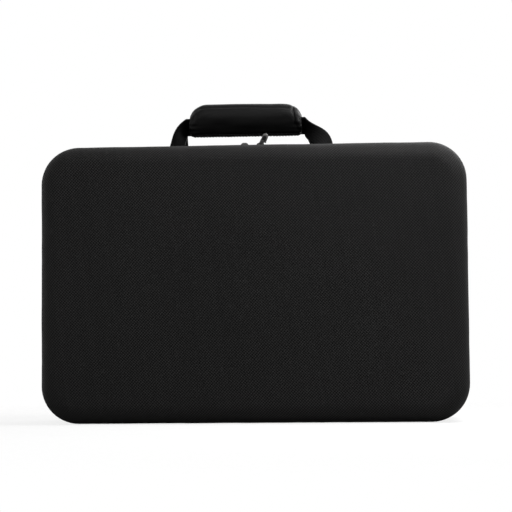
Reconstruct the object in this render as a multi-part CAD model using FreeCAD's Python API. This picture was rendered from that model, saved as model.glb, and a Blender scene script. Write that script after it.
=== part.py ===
import FreeCAD, Part
import math
import os

# Zipped hard-shell travel case for a games console, standing upright as it is carried.
# Two moulded foam half shells covered in woven nylon, a front lid and a deeper base, are joined by a zip
# round the top and sides and by a sewn fabric strip along the bottom.
# +X is to the right seen from the front, +Y to the rear, +Z up. The origin is under the case's middle.
# Every size is in millimetres.

Vector = FreeCAD.Vector
X_AXIS = Vector(1, 0, 0)
Y_AXIS = Vector(0, 1, 0)
Z_AXIS = Vector(0, 0, 1)

# Case body
CASE_WIDTH = 450.0
CASE_HEIGHT = 293.0
LID_DEPTH = 64.0            # front face to the lid's rim
BASE_DEPTH = 114.0          # the base's rim to the rear face
CORNER_RADIUS = 40.0        # corners seen from the front
FACE_EDGE_RADIUS = 20.0     # where a face rounds over into the side walls
WALL = 5.0
RIM_WALL = 2.6              # the wall is pressed thin where it is sewn
RIM_STEP = 12.0             # width of that thin edge
RIM_BEVEL = 1.0             # of the rim's outer edge

# Sewn edges
PLY_CLEARANCE = 0.1         # between plies that lie on each other
TAPE_THICKNESS = 0.8        # zip tape and hinge strip
TAPE_TUCK = 10.5            # how far the tape and strip reach in under the rim
BINDING_WIDTH = 11.0

# Zip
ZIP_BAND = 12.0             # gap between the two rims
CHAIN_GAP = 1.8             # between the two coils, where a slider's neck runs
COIL_WIDTH = 2.7
COIL_HEIGHT = 2.2
COIL_BEVEL = 0.9            # of the coil's outer edge
HINGE_LENGTH = 300.0        # stretch of the bottom edge that is a fabric strip
HINGE_END_GAP = 1.5         # between the strip's ends and the zip tape's ends

# Zip sliders and pullers
SLIDER_LENGTH = 13.5
SLIDER_WIDTH = 10.4         # at the mouth
SLIDER_TAIL_WIDTH = 7.4
SLIDER_CORNER = 1.3
SLIDER_CLEARANCE = 0.3      # to coil and tape
TOP_PLATE = 1.8
LOWER_PLATE = 1.2
NECK_LENGTH = 3.2
NECK_WIDTH = 1.2
NECK_SETBACK = 0.9          # from the mouth
BRIDGE_LENGTH = 9.0
BRIDGE_WIDTH = 3.0
BRIDGE_HEIGHT = 7.4
BRIDGE_BAR = 1.6            # thickness of its legs and top
BRIDGE_ROUND = 3.6
SLIDER_PITCH = 17.2         # between the parked sliders
SLIDERS_MEET_X = -3.0       # the point halfway between them
PIN_LIFT = 0.4              # of the puller's pin above the slider's top plate
PULLER_LENGTH = 17.0        # pivot to tip
PIN_DIAMETER = 2.0
FORK_WIDTH = 6.6            # outside the two arms that reach down to the pin
ARM_GAP = 0.6               # between the bridge and each arm
ARM_FLARE = (1.6, 4.4)      # where an arm starts to widen upwards, and where it is as wide as the tab
EYE_LENGTH = 7.2            # pivot to the far side of the eye, clear of the bridge at every angle
HEEL_SETBACK = 0.3          # from there to the tab's lower corner, clear of the slider's plate
TAB_WIDTH = 6.2             # of the tab, which stands on edge when the puller lies down
TAB_THICKNESS = 3.0
TAB_BEVEL = 0.5
FRAME_BAR = 1.3             # round the inlay
TIP_LENGTH = 2.9            # solid tip beyond the inlay
INLAY_CORNER = 1.0
INLAY_PROUD = 0.2           # above each face
RIGHT_PULLER_LIFT = 67.0    # degrees above the top edge; the left puller lies flat

# Handle
STRAP_WIDTH = 38.0
STRAP_THICKNESS = 2.2
STRAP_SETBACK = 12.0        # from the base's rim to the strap's front edge
FOLDED_WIDTH = 21.0         # of the strap where it is folded double inside the grip
FOLDED_THICKNESS = 4.4
FOLDED_TILT = 49.0          # degrees, front edge up
STRAIGHT_END = 2.5          # how far the folded strap runs straight out of the grip
FOOT_REACH = 51.0           # from there to each sewn end
# Each leg lifts off the case on a slant and folds as it rises. For its front and its rear edge: where the
# edge lifts off, measured outwards from the straight end, and how far its curve pulls (outwards, up) from
# the case and from the grip.
LEFT_LEG_EDGES = ((18.3, (-8.0, 16.0), (16.4, -10.6)), (2.5, (-6.0, 4.0), (5.0, -4.0)))
RIGHT_LEG_EDGES = ((32.0, (-3.0, 20.0), (18.0, -18.0)), (16.2, (-10.0, 4.3), (3.0, -3.0)))
LEG_STATIONS = 14
GRIP_LEFT = -77.0
GRIP_RIGHT = 50.5
GRIP_HEIGHT = 36.0
GRIP_DEPTH = 32.0
GRIP_SEAM_WIDTH = 11.0      # at the bottom, where the cover's edges meet
GRIP_LIFT = 23.5            # from the case's top to the underside of the grip
GRIP_SETBACK = 8.0          # how far the grip leans behind the strap's feet
GRIP_END_ROUND = 20.0       # of the ends seen from the front
STRAP_LIFT_IN_GRIP = 10.0   # middle of the strap above the grip's underside
COVER_THICKNESS = 1.5
PAD_CLEARANCE = 0.3         # round the pad and round the strap
BACKING_LENGTH = 44.0
BACKING_MARGIN = 3.0        # round the strap's foot
BACKING_THICKNESS = 1.5
BACKING_BEVEL = 4.0         # of its corners

# Foam tray in the base
TRAY_CLEARANCE = 2.2        # to the shell's walls, which leaves room for the backing plates
TRAY_SEAT = 0.3             # to the shell's rear wall
TRAY_SETBACK = 2.0          # behind the base's rim
TRAY_FLOOR = 8.0
TRAY_END_WALL = 19.8        # foam left and right of the bay
TRAY_SIDE_WALL = 6.3        # foam above and below the bay
BAY_CORNER = 10.0
SCOOP_RADIUS = 28.0         # finger scoops beside the bay
SCOOP_REACH = 12.0          # how far a scoop cuts into the tray's end

# Net pocket in the lid
POCKET_SIDE_MARGIN = 30.0   # to the case's sides
POCKET_BOTTOM = 24.0        # above the case's bottom
POCKET_HAND_ROOM = 79.0     # from the pocket's mouth to the case's top
POCKET_DEPTH = 14.0
POCKET_CORNER = 18.0
NET_THICKNESS = 1.0
POCKET_SEAT = 0.3
POCKET_BINDING_HEIGHT = 18.0
POCKET_BINDING_THICKNESS = 1.0

# Places that follow from the sizes above
CASE_DEPTH = LID_DEPTH + ZIP_BAND + BASE_DEPTH
FRONT_Y = -CASE_DEPTH / 2
LID_RIM_Y = FRONT_Y + LID_DEPTH
BASE_RIM_Y = LID_RIM_Y + ZIP_BAND
REAR_Y = CASE_DEPTH / 2
ZIP_Y = (LID_RIM_Y + BASE_RIM_Y) / 2
MIDDLE_Z = CASE_HEIGHT / 2
INNER_BEVEL = (2 - math.sqrt(2)) * (FACE_EDGE_RADIUS - WALL)     # keeps the wall even round the edge
TAPE_OUTER_INSET = RIM_WALL + PLY_CLEARANCE
TAPE_INNER_INSET = TAPE_OUTER_INSET + TAPE_THICKNESS
COIL_FOOT_INSET = TAPE_OUTER_INSET - PLY_CLEARANCE
COIL_TOP_INSET = COIL_FOOT_INSET - COIL_HEIGHT
TOP_PLATE_UNDER_Z = CASE_HEIGHT - COIL_TOP_INSET + SLIDER_CLEARANCE
TOP_PLATE_Z = TOP_PLATE_UNDER_Z + TOP_PLATE
LOWER_PLATE_Z = CASE_HEIGHT - TAPE_INNER_INSET - SLIDER_CLEARANCE
PIVOT_Z = TOP_PLATE_Z + PIN_LIFT + PIN_DIAMETER / 2
STRAP_FRONT_Y = BASE_RIM_Y + STRAP_SETBACK
STRAP_MIDDLE_Y = STRAP_FRONT_Y + STRAP_WIDTH / 2
STRAP_FOOT_Z = CASE_HEIGHT + PLY_CLEARANCE + STRAP_THICKNESS / 2
GRIP_UNDER_Z = CASE_HEIGHT + GRIP_LIFT
GRIP_MIDDLE_Y = STRAP_MIDDLE_Y + GRIP_SETBACK
BAY_WIDTH = CASE_WIDTH - 2 * (WALL + TRAY_CLEARANCE + TRAY_END_WALL)
BAY_HEIGHT = CASE_HEIGHT - 2 * (WALL + TRAY_CLEARANCE + TRAY_SIDE_WALL)
POCKET_WIDTH = CASE_WIDTH - 2 * POCKET_SIDE_MARGIN
POCKET_HEIGHT = CASE_HEIGHT - POCKET_BOTTOM - POCKET_HAND_ROOM
FAR = 2 * (CASE_WIDTH + CASE_HEIGHT + CASE_DEPTH)


def rounded_rectangle(half_width, half_height, radius, y, middle_z):
    """A closed wire in the plane at y: four straight sides joined by arcs."""
    w, h, r = half_width, half_height, radius
    bow = r * (1 - math.sqrt(0.5))
    corners = [(w, h, 1, 1), (-w, h, -1, 1), (-w, -h, -1, -1), (w, -h, 1, -1)]
    arcs = []
    for x, z, sx, sz in corners:
        beside = Vector(x - sx * r, y, middle_z + z)
        above = Vector(x, y, middle_z + z - sz * r)
        middle = Vector(x - sx * bow, y, middle_z + z - sz * bow)
        arcs.append((above, middle, beside) if sx * sz > 0 else (beside, middle, above))
    edges = []
    for here, following in zip(arcs, arcs[1:] + arcs[:1]):
        edges.append(Part.Arc(*here).toShape())
        edges.append(Part.LineSegment(here[2], following[0]).toShape())
    return Part.Wire(edges)


def polygon(points):
    """A closed wire through points."""
    return Part.makePolygon(points + points[:1])


def prism(wire, reach):
    """The solid swept by a flat closed wire along the vector reach."""
    return Part.Face(wire).extrude(reach)


def case_prism(inset, y_from, y_to):
    """A straight length of the case's outline, moved in by inset."""
    wire = rounded_rectangle(
        CASE_WIDTH / 2 - inset, CASE_HEIGHT / 2 - inset, CORNER_RADIUS - inset, y_from, MIDDLE_Z
    )
    return prism(wire, Vector(0, y_to - y_from, 0))


def case_band(outer_inset, inner_inset, y_from, y_to):
    """A ring that follows the case's outline between two insets."""
    return case_prism(outer_inset, y_from, y_to).cut(case_prism(inner_inset, y_from, y_to))


def edges_at_y(shape, y):
    """The edges of shape that lie in the plane at y."""
    return [e for e in shape.Edges if abs(e.BoundBox.YMin - y) < 1e-4 and abs(e.BoundBox.YMax - y) < 1e-4]


def edges_along(shape, axis):
    """The straight edges of shape that run along axis."""
    straight = [e for e in shape.Edges if isinstance(e.Curve, Part.Line)]
    return [e for e in straight if abs(abs(e.tangentAt(e.FirstParameter).dot(axis)) - 1) < 1e-6]


def box(x_from, x_to, y_from, y_to, z_from, z_to):
    """A block between two corners."""
    return Part.makeBox(x_to - x_from, y_to - y_from, z_to - z_from, Vector(x_from, y_from, z_from))


def half_shell(rim_y, face_y, inward):
    """One moulded shell: hollow, with its wall pressed thin along the rim. inward is -1 or 1 in Y."""
    outer = case_prism(0, rim_y, face_y)
    outer = outer.makeFillet(FACE_EDGE_RADIUS, edges_at_y(outer, face_y))
    outer = outer.makeChamfer(RIM_BEVEL, edges_at_y(outer, rim_y))
    inner_face_y = face_y - inward * WALL
    inner = case_prism(WALL, rim_y, inner_face_y)
    inner = inner.makeChamfer(INNER_BEVEL, edges_at_y(inner, inner_face_y))
    sewn_edge = case_prism(RIM_WALL, rim_y, rim_y + inward * RIM_STEP)
    return outer.cut(inner).cut(sewn_edge)


def rim_binding(rim_y, inward):
    """Ribbon that covers the sewn edge inside a shell."""
    return case_band(TAPE_INNER_INSET + PLY_CLEARANCE, WALL, rim_y, rim_y + inward * BINDING_WIDTH)


def without_hinge_stretch(band):
    """A band cut open along the bottom, where the hinge strip lies."""
    half = HINGE_LENGTH / 2 + HINGE_END_GAP
    return band.cut(box(-half, half, -FAR, FAR, -FAR, CORNER_RADIUS / 2))


def zip_tape(rim_y, inward):
    """Woven tape sewn in under one rim, reaching out to its coil."""
    chain_y = ZIP_Y + inward * CHAIN_GAP / 2
    band = case_band(TAPE_OUTER_INSET, TAPE_INNER_INSET, chain_y, rim_y + inward * TAPE_TUCK)
    return without_hinge_stretch(band)


def zip_coil(inward):
    """The row of coil teeth on one tape, as a bevelled bead."""
    chain_y = ZIP_Y + inward * CHAIN_GAP / 2
    far_y = chain_y + inward * COIL_WIDTH
    block = case_prism(COIL_TOP_INSET, chain_y, far_y)
    block = block.makeChamfer(COIL_BEVEL, edges_at_y(block, far_y))
    return without_hinge_stretch(block.cut(case_prism(COIL_FOOT_INSET, chain_y, far_y)))


def hinge_strip():
    """Fabric strip sewn in under both rims along the bottom."""
    half = HINGE_LENGTH / 2
    return box(
        -half, half, LID_RIM_Y - TAPE_TUCK, BASE_RIM_Y + TAPE_TUCK, TAPE_OUTER_INSET, TAPE_INNER_INSET
    )


def slider_plate(under_z, thickness, narrower):
    """A slider's upper or lower plate, wide at the mouth (-X) and narrow at the tail."""
    half, mouth, tail = SLIDER_LENGTH / 2, SLIDER_WIDTH / 2 - narrower, SLIDER_TAIL_WIDTH / 2 - narrower
    points = [(-half, -mouth), (0, -mouth), (half, -tail), (half, tail), (0, mouth), (-half, mouth)]
    outline = [Vector(x, y, under_z) for x, y in points]
    plate = prism(polygon(outline), Vector(0, 0, thickness))
    return plate.makeFillet(SLIDER_CORNER, edges_along(plate, Z_AXIS))


def slider_bridge():
    """The arched bar on a slider that the puller swings under."""
    half, side = BRIDGE_LENGTH / 2, BRIDGE_WIDTH / 2
    arch = box(-half, half, -side, side, TOP_PLATE_Z, TOP_PLATE_Z + BRIDGE_HEIGHT)
    crest = [e for e in edges_along(arch, Y_AXIS) if e.BoundBox.ZMin > TOP_PLATE_Z + BRIDGE_HEIGHT / 2]
    arch = arch.makeFillet(BRIDGE_ROUND, crest)
    inner_half, inner_top = half - BRIDGE_BAR, TOP_PLATE_Z + BRIDGE_HEIGHT - BRIDGE_BAR
    window = box(-inner_half, inner_half, -side, side, TOP_PLATE_Z, inner_top)
    corners = [e for e in edges_along(window, Y_AXIS) if e.BoundBox.ZMin > inner_top - PIN_LIFT]
    return arch.cut(window.makeFillet(BRIDGE_ROUND - BRIDGE_BAR, corners))


def slider(x, mouth_side):
    """A die-cast slider at x: two plates and the neck between them, with the puller's bridge on top."""
    upper = slider_plate(TOP_PLATE_UNDER_Z, TOP_PLATE, 0)
    lower = slider_plate(LOWER_PLATE_Z - LOWER_PLATE, LOWER_PLATE, SLIDER_CLEARANCE)
    neck_x = -SLIDER_LENGTH / 2 + NECK_SETBACK
    neck = box(
        neck_x, neck_x + NECK_LENGTH, -NECK_WIDTH / 2, NECK_WIDTH / 2, LOWER_PLATE_Z - LOWER_PLATE / 2,
        TOP_PLATE_UNDER_Z + TOP_PLATE / 2,
    )
    body = upper.fuse([lower, neck, slider_bridge()]).removeSplitter()
    if mouth_side > 0:
        body.rotate(Vector(0, 0, 0), Z_AXIS, 180)
    body.translate(Vector(x, ZIP_Y, 0))
    return body


def placed_puller(shape, x, lift, side):
    """A puller piece, drawn lying along +X from its pivot, set on its slider. side is 1 right, -1 left."""
    shape.rotate(Vector(0, 0, 0), Y_AXIS, -lift)
    if side < 0:
        shape.rotate(Vector(0, 0, 0), Z_AXIS, 180)
    shape.translate(Vector(x, ZIP_Y, PIVOT_Z))
    return shape


def inlay_block(shrink, half_thickness):
    """The inlay's outline in the puller's frame, made smaller all round by shrink."""
    half = TAB_WIDTH / 2 - FRAME_BAR - shrink
    near_x = EYE_LENGTH + HEEL_SETBACK + FRAME_BAR + shrink
    far_x = PULLER_LENGTH - TIP_LENGTH - shrink
    block = box(near_x, far_x, -half_thickness, half_thickness, -half, half)
    return block.makeFillet(INLAY_CORNER - shrink, edges_along(block, Y_AXIS))


def puller_link(x, lift, side):
    """Metal puller: a pin under the slider's bridge, a fork round it and a framed tab with a round tip."""
    pin, half, outer = PIN_DIAMETER / 2, TAB_WIDTH / 2, FORK_WIDTH / 2
    flare_from, flare_to = ARM_FLARE
    heel_x = EYE_LENGTH + HEEL_SETBACK
    collar_x = heel_x + FRAME_BAR
    arms = [(0, -pin), (heel_x, -pin), (heel_x, -half), (collar_x, -half), (collar_x, half), (flare_to, half),
            (flare_from, pin), (0, pin)]
    fork = prism(polygon([Vector(px, -outer, pz) for px, pz in arms]), Y_AXIS * FORK_WIDTH)
    fork = fork.makeChamfer(TAB_BEVEL, [e for e in edges_along(fork, Z_AXIS) if e.BoundBox.XMin > heel_x])
    inside = BRIDGE_WIDTH / 2 + ARM_GAP
    eye = box(-pin, EYE_LENGTH, -inside, inside, -half, half)
    thin = TAB_THICKNESS / 2
    tab = box(EYE_LENGTH + pin / 2, PULLER_LENGTH - half, -thin, thin, -half, half)
    tab = tab.cut(box(0, heel_x, -thin, thin, -half, -pin))
    tip = Part.makeCylinder(half, TAB_THICKNESS, Vector(PULLER_LENGTH - half, -thin, 0), Y_AXIS)
    tab = tab.fuse(tip).removeSplitter()
    rims = [e for e in tab.Edges if e.BoundBox.YLength < 1e-6 and e.BoundBox.XMax > collar_x]
    tab = tab.makeChamfer(TAB_BEVEL, rims)
    bar = Part.makeCylinder(pin, FORK_WIDTH, Vector(0, -outer, 0), Y_AXIS)
    link = fork.cut(eye).fuse([tab, bar]).cut(inlay_block(0, thin)).removeSplitter()
    return placed_puller(link, x, lift, side)


def puller_inlay(x, lift, side):
    """Rubber inlay that fills the tab's frame, a little proud of both faces."""
    return placed_puller(inlay_block(PLY_CLEARANCE, TAB_THICKNESS / 2 + INLAY_PROUD), x, lift, side)


def bezier(points, t):
    """The point at t, from 0 to 1, on the cubic curve with four control points."""
    s = 1 - t
    return points[0] * s ** 3 + points[1] * (3 * s * s * t) + points[2] * (3 * s * t * t) + points[3] * t ** 3


def strap_section(front, rear, along, thickness):
    """The four corners of the strap's cross-section, from its front edge to its rear edge."""
    normal = along.cross(rear - front).normalize() * (thickness / 2)
    return [front + normal, rear + normal, rear - normal, front - normal]


def folded_edges(x):
    """The strap's front and rear edge inside the grip, where it is folded double."""
    tilt = math.radians(FOLDED_TILT)
    half = Vector(0, math.cos(tilt), -math.sin(tilt)) * (FOLDED_WIDTH / 2)
    middle = Vector(x, GRIP_MIDDLE_Y, GRIP_UNDER_Z + STRAP_LIFT_IN_GRIP)
    return middle - half, middle + half


def folded_strap(x_from, x_to, clearance):
    """A straight length of the folded strap, enlarged by clearance."""
    front, rear = folded_edges(x_from)
    margin = (rear - front).normalize() * clearance
    section = strap_section(front - margin, rear + margin, X_AXIS, FOLDED_THICKNESS + 2 * clearance)
    return prism(polygon(section), X_AXIS * (x_to - x_from))


def strap_leg(side, start_x, edges):
    """Cross-sections of one leg, from the grip to its sewn end. side is 1 right, -1 left."""
    outward = X_AXIS * side
    curves = []
    for folded, edge_y, (lift, from_case, from_grip) in zip(
        folded_edges(start_x), (STRAP_FRONT_Y, STRAP_FRONT_Y + STRAP_WIDTH), edges
    ):
        foot = Vector(start_x + side * lift, edge_y, STRAP_FOOT_Z)
        leaving = folded + outward * from_grip[0] + Z_AXIS * from_grip[1]
        landing = foot + outward * from_case[0] + Z_AXIS * from_case[1]
        curves.append([folded, leaving, landing, foot])
    sections = []
    for number in range(LEG_STATIONS + 1):
        t = number / LEG_STATIONS
        front, rear = (bezier(curve, t) for curve in curves)
        near, far = max(t - 1e-4, 0), min(t + 1e-4, 1)
        along = sum((bezier(curve, far) - bezier(curve, near) for curve in curves), Vector()).normalize()
        if number in (0, LEG_STATIONS):
            along = along + outward
        thickness = FOLDED_THICKNESS + (STRAP_THICKNESS - FOLDED_THICKNESS) * t
        sections.append(strap_section(front, rear, along * side, thickness))
    end_x = start_x + side * FOOT_REACH
    foot_front, foot_rear = (Vector(end_x, curve[3].y, STRAP_FOOT_Z) for curve in curves)
    sections.append(strap_section(foot_front, foot_rear, X_AXIS, STRAP_THICKNESS))
    return sections


def faceted_band(sections):
    """A solid through four-cornered cross-sections, with two flat facets on each side of each step."""
    faces = [Part.Face(polygon(sections[0])), Part.Face(polygon(sections[-1]))]
    for here, following in zip(sections, sections[1:]):
        for a, b, c, d in zip(here, here[1:] + here[:1], following[1:] + following[:1], following):
            faces += [Part.Face(polygon([a, b, c])), Part.Face(polygon([a, c, d]))]
    solid = Part.Solid(Part.Shell(faces))
    solid.fix(1e-6, 1e-6, 1e-6)
    return solid


def handle_strap():
    """The whole webbing strap: left leg, the folded stretch inside the grip, right leg."""
    left = strap_leg(-1, GRIP_LEFT - STRAIGHT_END, LEFT_LEG_EDGES)
    right = strap_leg(1, GRIP_RIGHT + STRAIGHT_END, RIGHT_LEG_EDGES)
    return faceted_band(left[::-1] + right)


def grip_form(inset):
    """The padded grip's form moved in by inset: a drop-shaped bar whose ends round over at the top."""
    half, seam = GRIP_DEPTH / 2 - inset, GRIP_SEAM_WIDTH / 2 - inset
    left, right = GRIP_LEFT + inset, GRIP_RIGHT - inset
    under, top = GRIP_UNDER_Z + inset, GRIP_UNDER_Z + GRIP_HEIGHT - inset
    front, rear, shoulder = GRIP_MIDDLE_Y - half, GRIP_MIDDLE_Y + half, top - half
    low_front, low_rear = Vector(left, GRIP_MIDDLE_Y - seam, under), Vector(left, GRIP_MIDDLE_Y + seam, under)
    side_front, side_rear = Vector(left, front, shoulder), Vector(left, rear, shoulder)
    section = Part.Wire([
        Part.LineSegment(low_front, low_rear).toShape(),
        Part.LineSegment(low_rear, side_rear).toShape(),
        Part.Arc(side_rear, Vector(left, GRIP_MIDDLE_Y, top), side_front).toShape(),
        Part.LineSegment(side_front, low_front).toShape(),
    ])
    side_view = box(left, right, front, rear, under, top)
    upper = [e for e in edges_along(side_view, Y_AXIS) if e.BoundBox.ZMin > shoulder]
    side_view = side_view.makeFillet(GRIP_END_ROUND - inset, upper)
    return prism(section, X_AXIS * (right - left)).common(side_view)


def handle_cover():
    """Leathercloth sleeve of the grip, open where the strap comes out."""
    slot = folded_strap(GRIP_LEFT - STRAIGHT_END, GRIP_RIGHT + STRAIGHT_END, PAD_CLEARANCE)
    return grip_form(0).cut(grip_form(COVER_THICKNESS)).cut(slot)


def handle_pad():
    """Foam pad between the strap and the cover."""
    slot = folded_strap(GRIP_LEFT - STRAIGHT_END, GRIP_RIGHT + STRAIGHT_END, PAD_CLEARANCE)
    return grip_form(COVER_THICKNESS + PAD_CLEARANCE).cut(slot)


def handle_backing(side, start_x):
    """Plate inside the base's top wall that a foot of the strap is sewn through to."""
    outer_x = start_x + side * (FOOT_REACH + BACKING_MARGIN)
    inner_x = outer_x - side * BACKING_LENGTH
    top_z = CASE_HEIGHT - WALL - PLY_CLEARANCE
    plate = box(
        min(outer_x, inner_x), max(outer_x, inner_x), STRAP_FRONT_Y - BACKING_MARGIN,
        STRAP_FRONT_Y + STRAP_WIDTH + BACKING_MARGIN, top_z - BACKING_THICKNESS, top_z,
    )
    return plate.makeChamfer(BACKING_BEVEL, edges_along(plate, Z_AXIS))


def foam_tray():
    """Foam insert in the base with the bay that holds the console and a finger scoop at each end."""
    front_y, rear_y = BASE_RIM_Y + TRAY_SETBACK, REAR_Y - WALL - TRAY_SEAT
    tray = case_prism(WALL + TRAY_CLEARANCE, front_y, rear_y)
    tray = tray.makeChamfer(INNER_BEVEL, edges_at_y(tray, rear_y))
    bay_reach = Vector(0, rear_y - TRAY_FLOOR - front_y, 0)
    bay = prism(rounded_rectangle(BAY_WIDTH / 2, BAY_HEIGHT / 2, BAY_CORNER, front_y, MIDDLE_Z), bay_reach)
    scoop_x = BAY_WIDTH / 2 + SCOOP_REACH - SCOOP_RADIUS
    scoops = [
        Part.makeCylinder(SCOOP_RADIUS, bay_reach.y, Vector(side * scoop_x, front_y, MIDDLE_Z), Y_AXIS)
        for side in (-1, 1)
    ]
    return tray.cut(bay.fuse(scoops))


def pocket_block(shrink, y_from, y_to, top_z):
    """The pocket's outline as a block with rounded lower corners."""
    half = POCKET_WIDTH / 2 - shrink
    block = box(-half, half, y_from, y_to, POCKET_BOTTOM + shrink, top_z)
    low = [e for e in edges_along(block, Y_AXIS) if e.BoundBox.ZMin < POCKET_BOTTOM + POCKET_CORNER]
    return block.makeFillet(POCKET_CORNER - shrink, low)


def net_pocket():
    """Net panel with shallow sides, sewn to the lid's inside and open at the top."""
    lid_y = FRONT_Y + WALL + POCKET_SEAT
    face_y, top_z = FRONT_Y + WALL + POCKET_DEPTH, POCKET_BOTTOM + POCKET_HEIGHT
    inside = pocket_block(NET_THICKNESS, lid_y, face_y - NET_THICKNESS, top_z + POCKET_CORNER)
    return pocket_block(0, lid_y, face_y, top_z).cut(inside)


def pocket_binding():
    """Elastic ribbon folded over the pocket's open edge."""
    face_y, top_z = FRONT_Y + WALL + POCKET_DEPTH, POCKET_BOTTOM + POCKET_HEIGHT
    half = POCKET_WIDTH / 2 - NET_THICKNESS - PLY_CLEARANCE
    slot_from, slot_to = face_y - NET_THICKNESS - PLY_CLEARANCE, face_y + PLY_CLEARANCE
    slot_top = top_z + PLY_CLEARANCE
    ribbon = box(
        -half, half, slot_from - POCKET_BINDING_THICKNESS, slot_to + POCKET_BINDING_THICKNESS,
        slot_top - POCKET_BINDING_HEIGHT, slot_top + POCKET_BINDING_THICKNESS,
    )
    return ribbon.cut(box(-half, half, slot_from, slot_to, slot_top - POCKET_BINDING_HEIGHT, slot_top))


def all_parts():
    """Every piece of the case by its node's name."""
    left_x = SLIDERS_MEET_X - SLIDER_PITCH / 2
    right_x = SLIDERS_MEET_X + SLIDER_PITCH / 2
    return {
        "lid_shell": half_shell(LID_RIM_Y, FRONT_Y, -1),
        "base_shell": half_shell(BASE_RIM_Y, REAR_Y, 1),
        "lid_rim_binding": rim_binding(LID_RIM_Y, -1),
        "base_rim_binding": rim_binding(BASE_RIM_Y, 1),
        "zip_tape_lid": zip_tape(LID_RIM_Y, -1),
        "zip_tape_base": zip_tape(BASE_RIM_Y, 1),
        "zip_coil_lid": zip_coil(-1),
        "zip_coil_base": zip_coil(1),
        "hinge_strip": hinge_strip(),
        "slider_left": slider(left_x, 1),
        "slider_right": slider(right_x, -1),
        "puller_link_left": puller_link(left_x, 0, -1),
        "puller_inlay_left": puller_inlay(left_x, 0, -1),
        "puller_link_right": puller_link(right_x, RIGHT_PULLER_LIFT, 1),
        "puller_inlay_right": puller_inlay(right_x, RIGHT_PULLER_LIFT, 1),
        "handle_strap": handle_strap(),
        "handle_pad": handle_pad(),
        "handle_cover": handle_cover(),
        "handle_backing_left": handle_backing(-1, GRIP_LEFT - STRAIGHT_END),
        "handle_backing_right": handle_backing(1, GRIP_RIGHT + STRAIGHT_END),
        "foam_tray": foam_tray(),
        "net_pocket": net_pocket(),
        "pocket_binding": pocket_binding(),
    }


os.makedirs("parts", exist_ok=True)
for name, shape in all_parts().items():
    solids = shape.Solids
    print(name, "solids", len(solids), "volume", round(shape.Volume, 1), "valid", shape.isValid())
    Part.makeCompound(solids).exportStep(os.path.join("parts", name + ".step"))
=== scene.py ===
import math
import bmesh
import bpy
import numpy as np
from mathutils import Matrix, Vector, noise


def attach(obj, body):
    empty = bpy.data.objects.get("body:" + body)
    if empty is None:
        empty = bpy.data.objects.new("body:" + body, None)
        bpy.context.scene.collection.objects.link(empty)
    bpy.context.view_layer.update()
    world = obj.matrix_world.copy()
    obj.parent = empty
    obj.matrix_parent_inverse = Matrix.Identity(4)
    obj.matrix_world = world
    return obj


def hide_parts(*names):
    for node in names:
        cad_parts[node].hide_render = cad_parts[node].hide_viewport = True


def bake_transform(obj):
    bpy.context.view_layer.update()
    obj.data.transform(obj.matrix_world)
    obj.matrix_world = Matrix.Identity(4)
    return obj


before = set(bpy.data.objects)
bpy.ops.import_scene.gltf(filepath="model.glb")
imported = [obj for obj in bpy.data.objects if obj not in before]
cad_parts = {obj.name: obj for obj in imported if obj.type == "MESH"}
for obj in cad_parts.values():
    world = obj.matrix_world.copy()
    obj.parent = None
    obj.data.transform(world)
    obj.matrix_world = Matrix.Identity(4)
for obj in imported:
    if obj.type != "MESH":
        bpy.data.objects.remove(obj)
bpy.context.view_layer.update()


# The two half shells: EVA foam sheet laminated with ballistic nylon outside and knitted lining inside,
# pressed to shape hot in a mould. The lid's face comes out of the mould slightly crowned, and the pressed
# rims carry a stitched groove where the zip tape, hinge strip and inside ribbon are sewn on.
MM = 0.001
HALF_WIDTH, HALF_HEIGHT, CORNER = 225.0, 146.5, 40.0
FRONT_Y, LID_RIM_Y, ZIP_Y, BASE_RIM_Y, REAR_Y = -95.0, -31.0, -25.0, -19.0, 95.0
FACE_ROUND, WALL, RIM_WALL, RIM_STEP = 20.0, 5.0, 2.6, 12.0
SEW_LINE, SEW_GROOVE = 4.2, 0.35
LID_CROWN, BASE_CROWN, MOULD_WAVES = 3.0, 0.0, ((0.3, 46.0), (0.14, 15.0))
CORE_X, CORE_Z = HALF_WIDTH - CORNER, HALF_HEIGHT - CORNER
CORNER_STARTS = (((0, -1), (1, 0)), ((1, 0), (0, 1)), ((0, 1), (-1, 0)), ((-1, 0), (0, -1)))
CORNER_CENTRES = (
    (CORE_X, CORNER), (CORE_X, CORNER + 2 * CORE_Z), (-CORE_X, CORNER + 2 * CORE_Z), (-CORE_X, CORNER),
)


def outline_stations(x_steps, z_steps, corner_steps, open_half=0.0):
    """Places round the case from the middle of the bottom: core point, outward normal, corner and turn."""
    places = []
    starts, stops = ((open_half, CORNER), *CORNER_CENTRES), (*CORNER_CENTRES, (-open_half, CORNER))
    for side, steps in enumerate((x_steps // 2, z_steps, x_steps, z_steps, x_steps // 2)):
        normal, along = CORNER_STARTS[side % 4]
        for step in range(0 if side == 0 else 1, steps + 1):
            core = [a + (b - a) * step / steps for a, b in zip(starts[side], stops[side])]
            places.append((*core, *normal, None, 0.0))
        for step in range(1, corner_steps + 1 if side < 4 else 0):
            turn = math.pi / 2 * step / corner_steps
            turned = [n * math.cos(turn) + t * math.sin(turn) for n, t in zip(normal, along)]
            places.append((*CORNER_CENTRES[side], *turned, side, turn))
    return places[:-1] if open_half == 0 else places


def distances(points):
    """How far along a closed run of points each one lies, and last the whole length."""
    run = [0.0]
    for here, there in zip(points, [*points[1:], points[0]]):
        run.append(run[-1] + math.dist(here, there))
    return run


def quads(rows, columns, first=0, closed=False):
    """Faces of a grid of points, row by row; closed joins its last column to the first."""
    faces = []
    for here in range(first, first + (rows - 1) * columns, columns):
        for k in range(columns if closed else columns - 1):
            m = (k + 1) % columns
            faces.append((here + k, here + m, here + columns + m, here + columns + k))
    return faces


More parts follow.
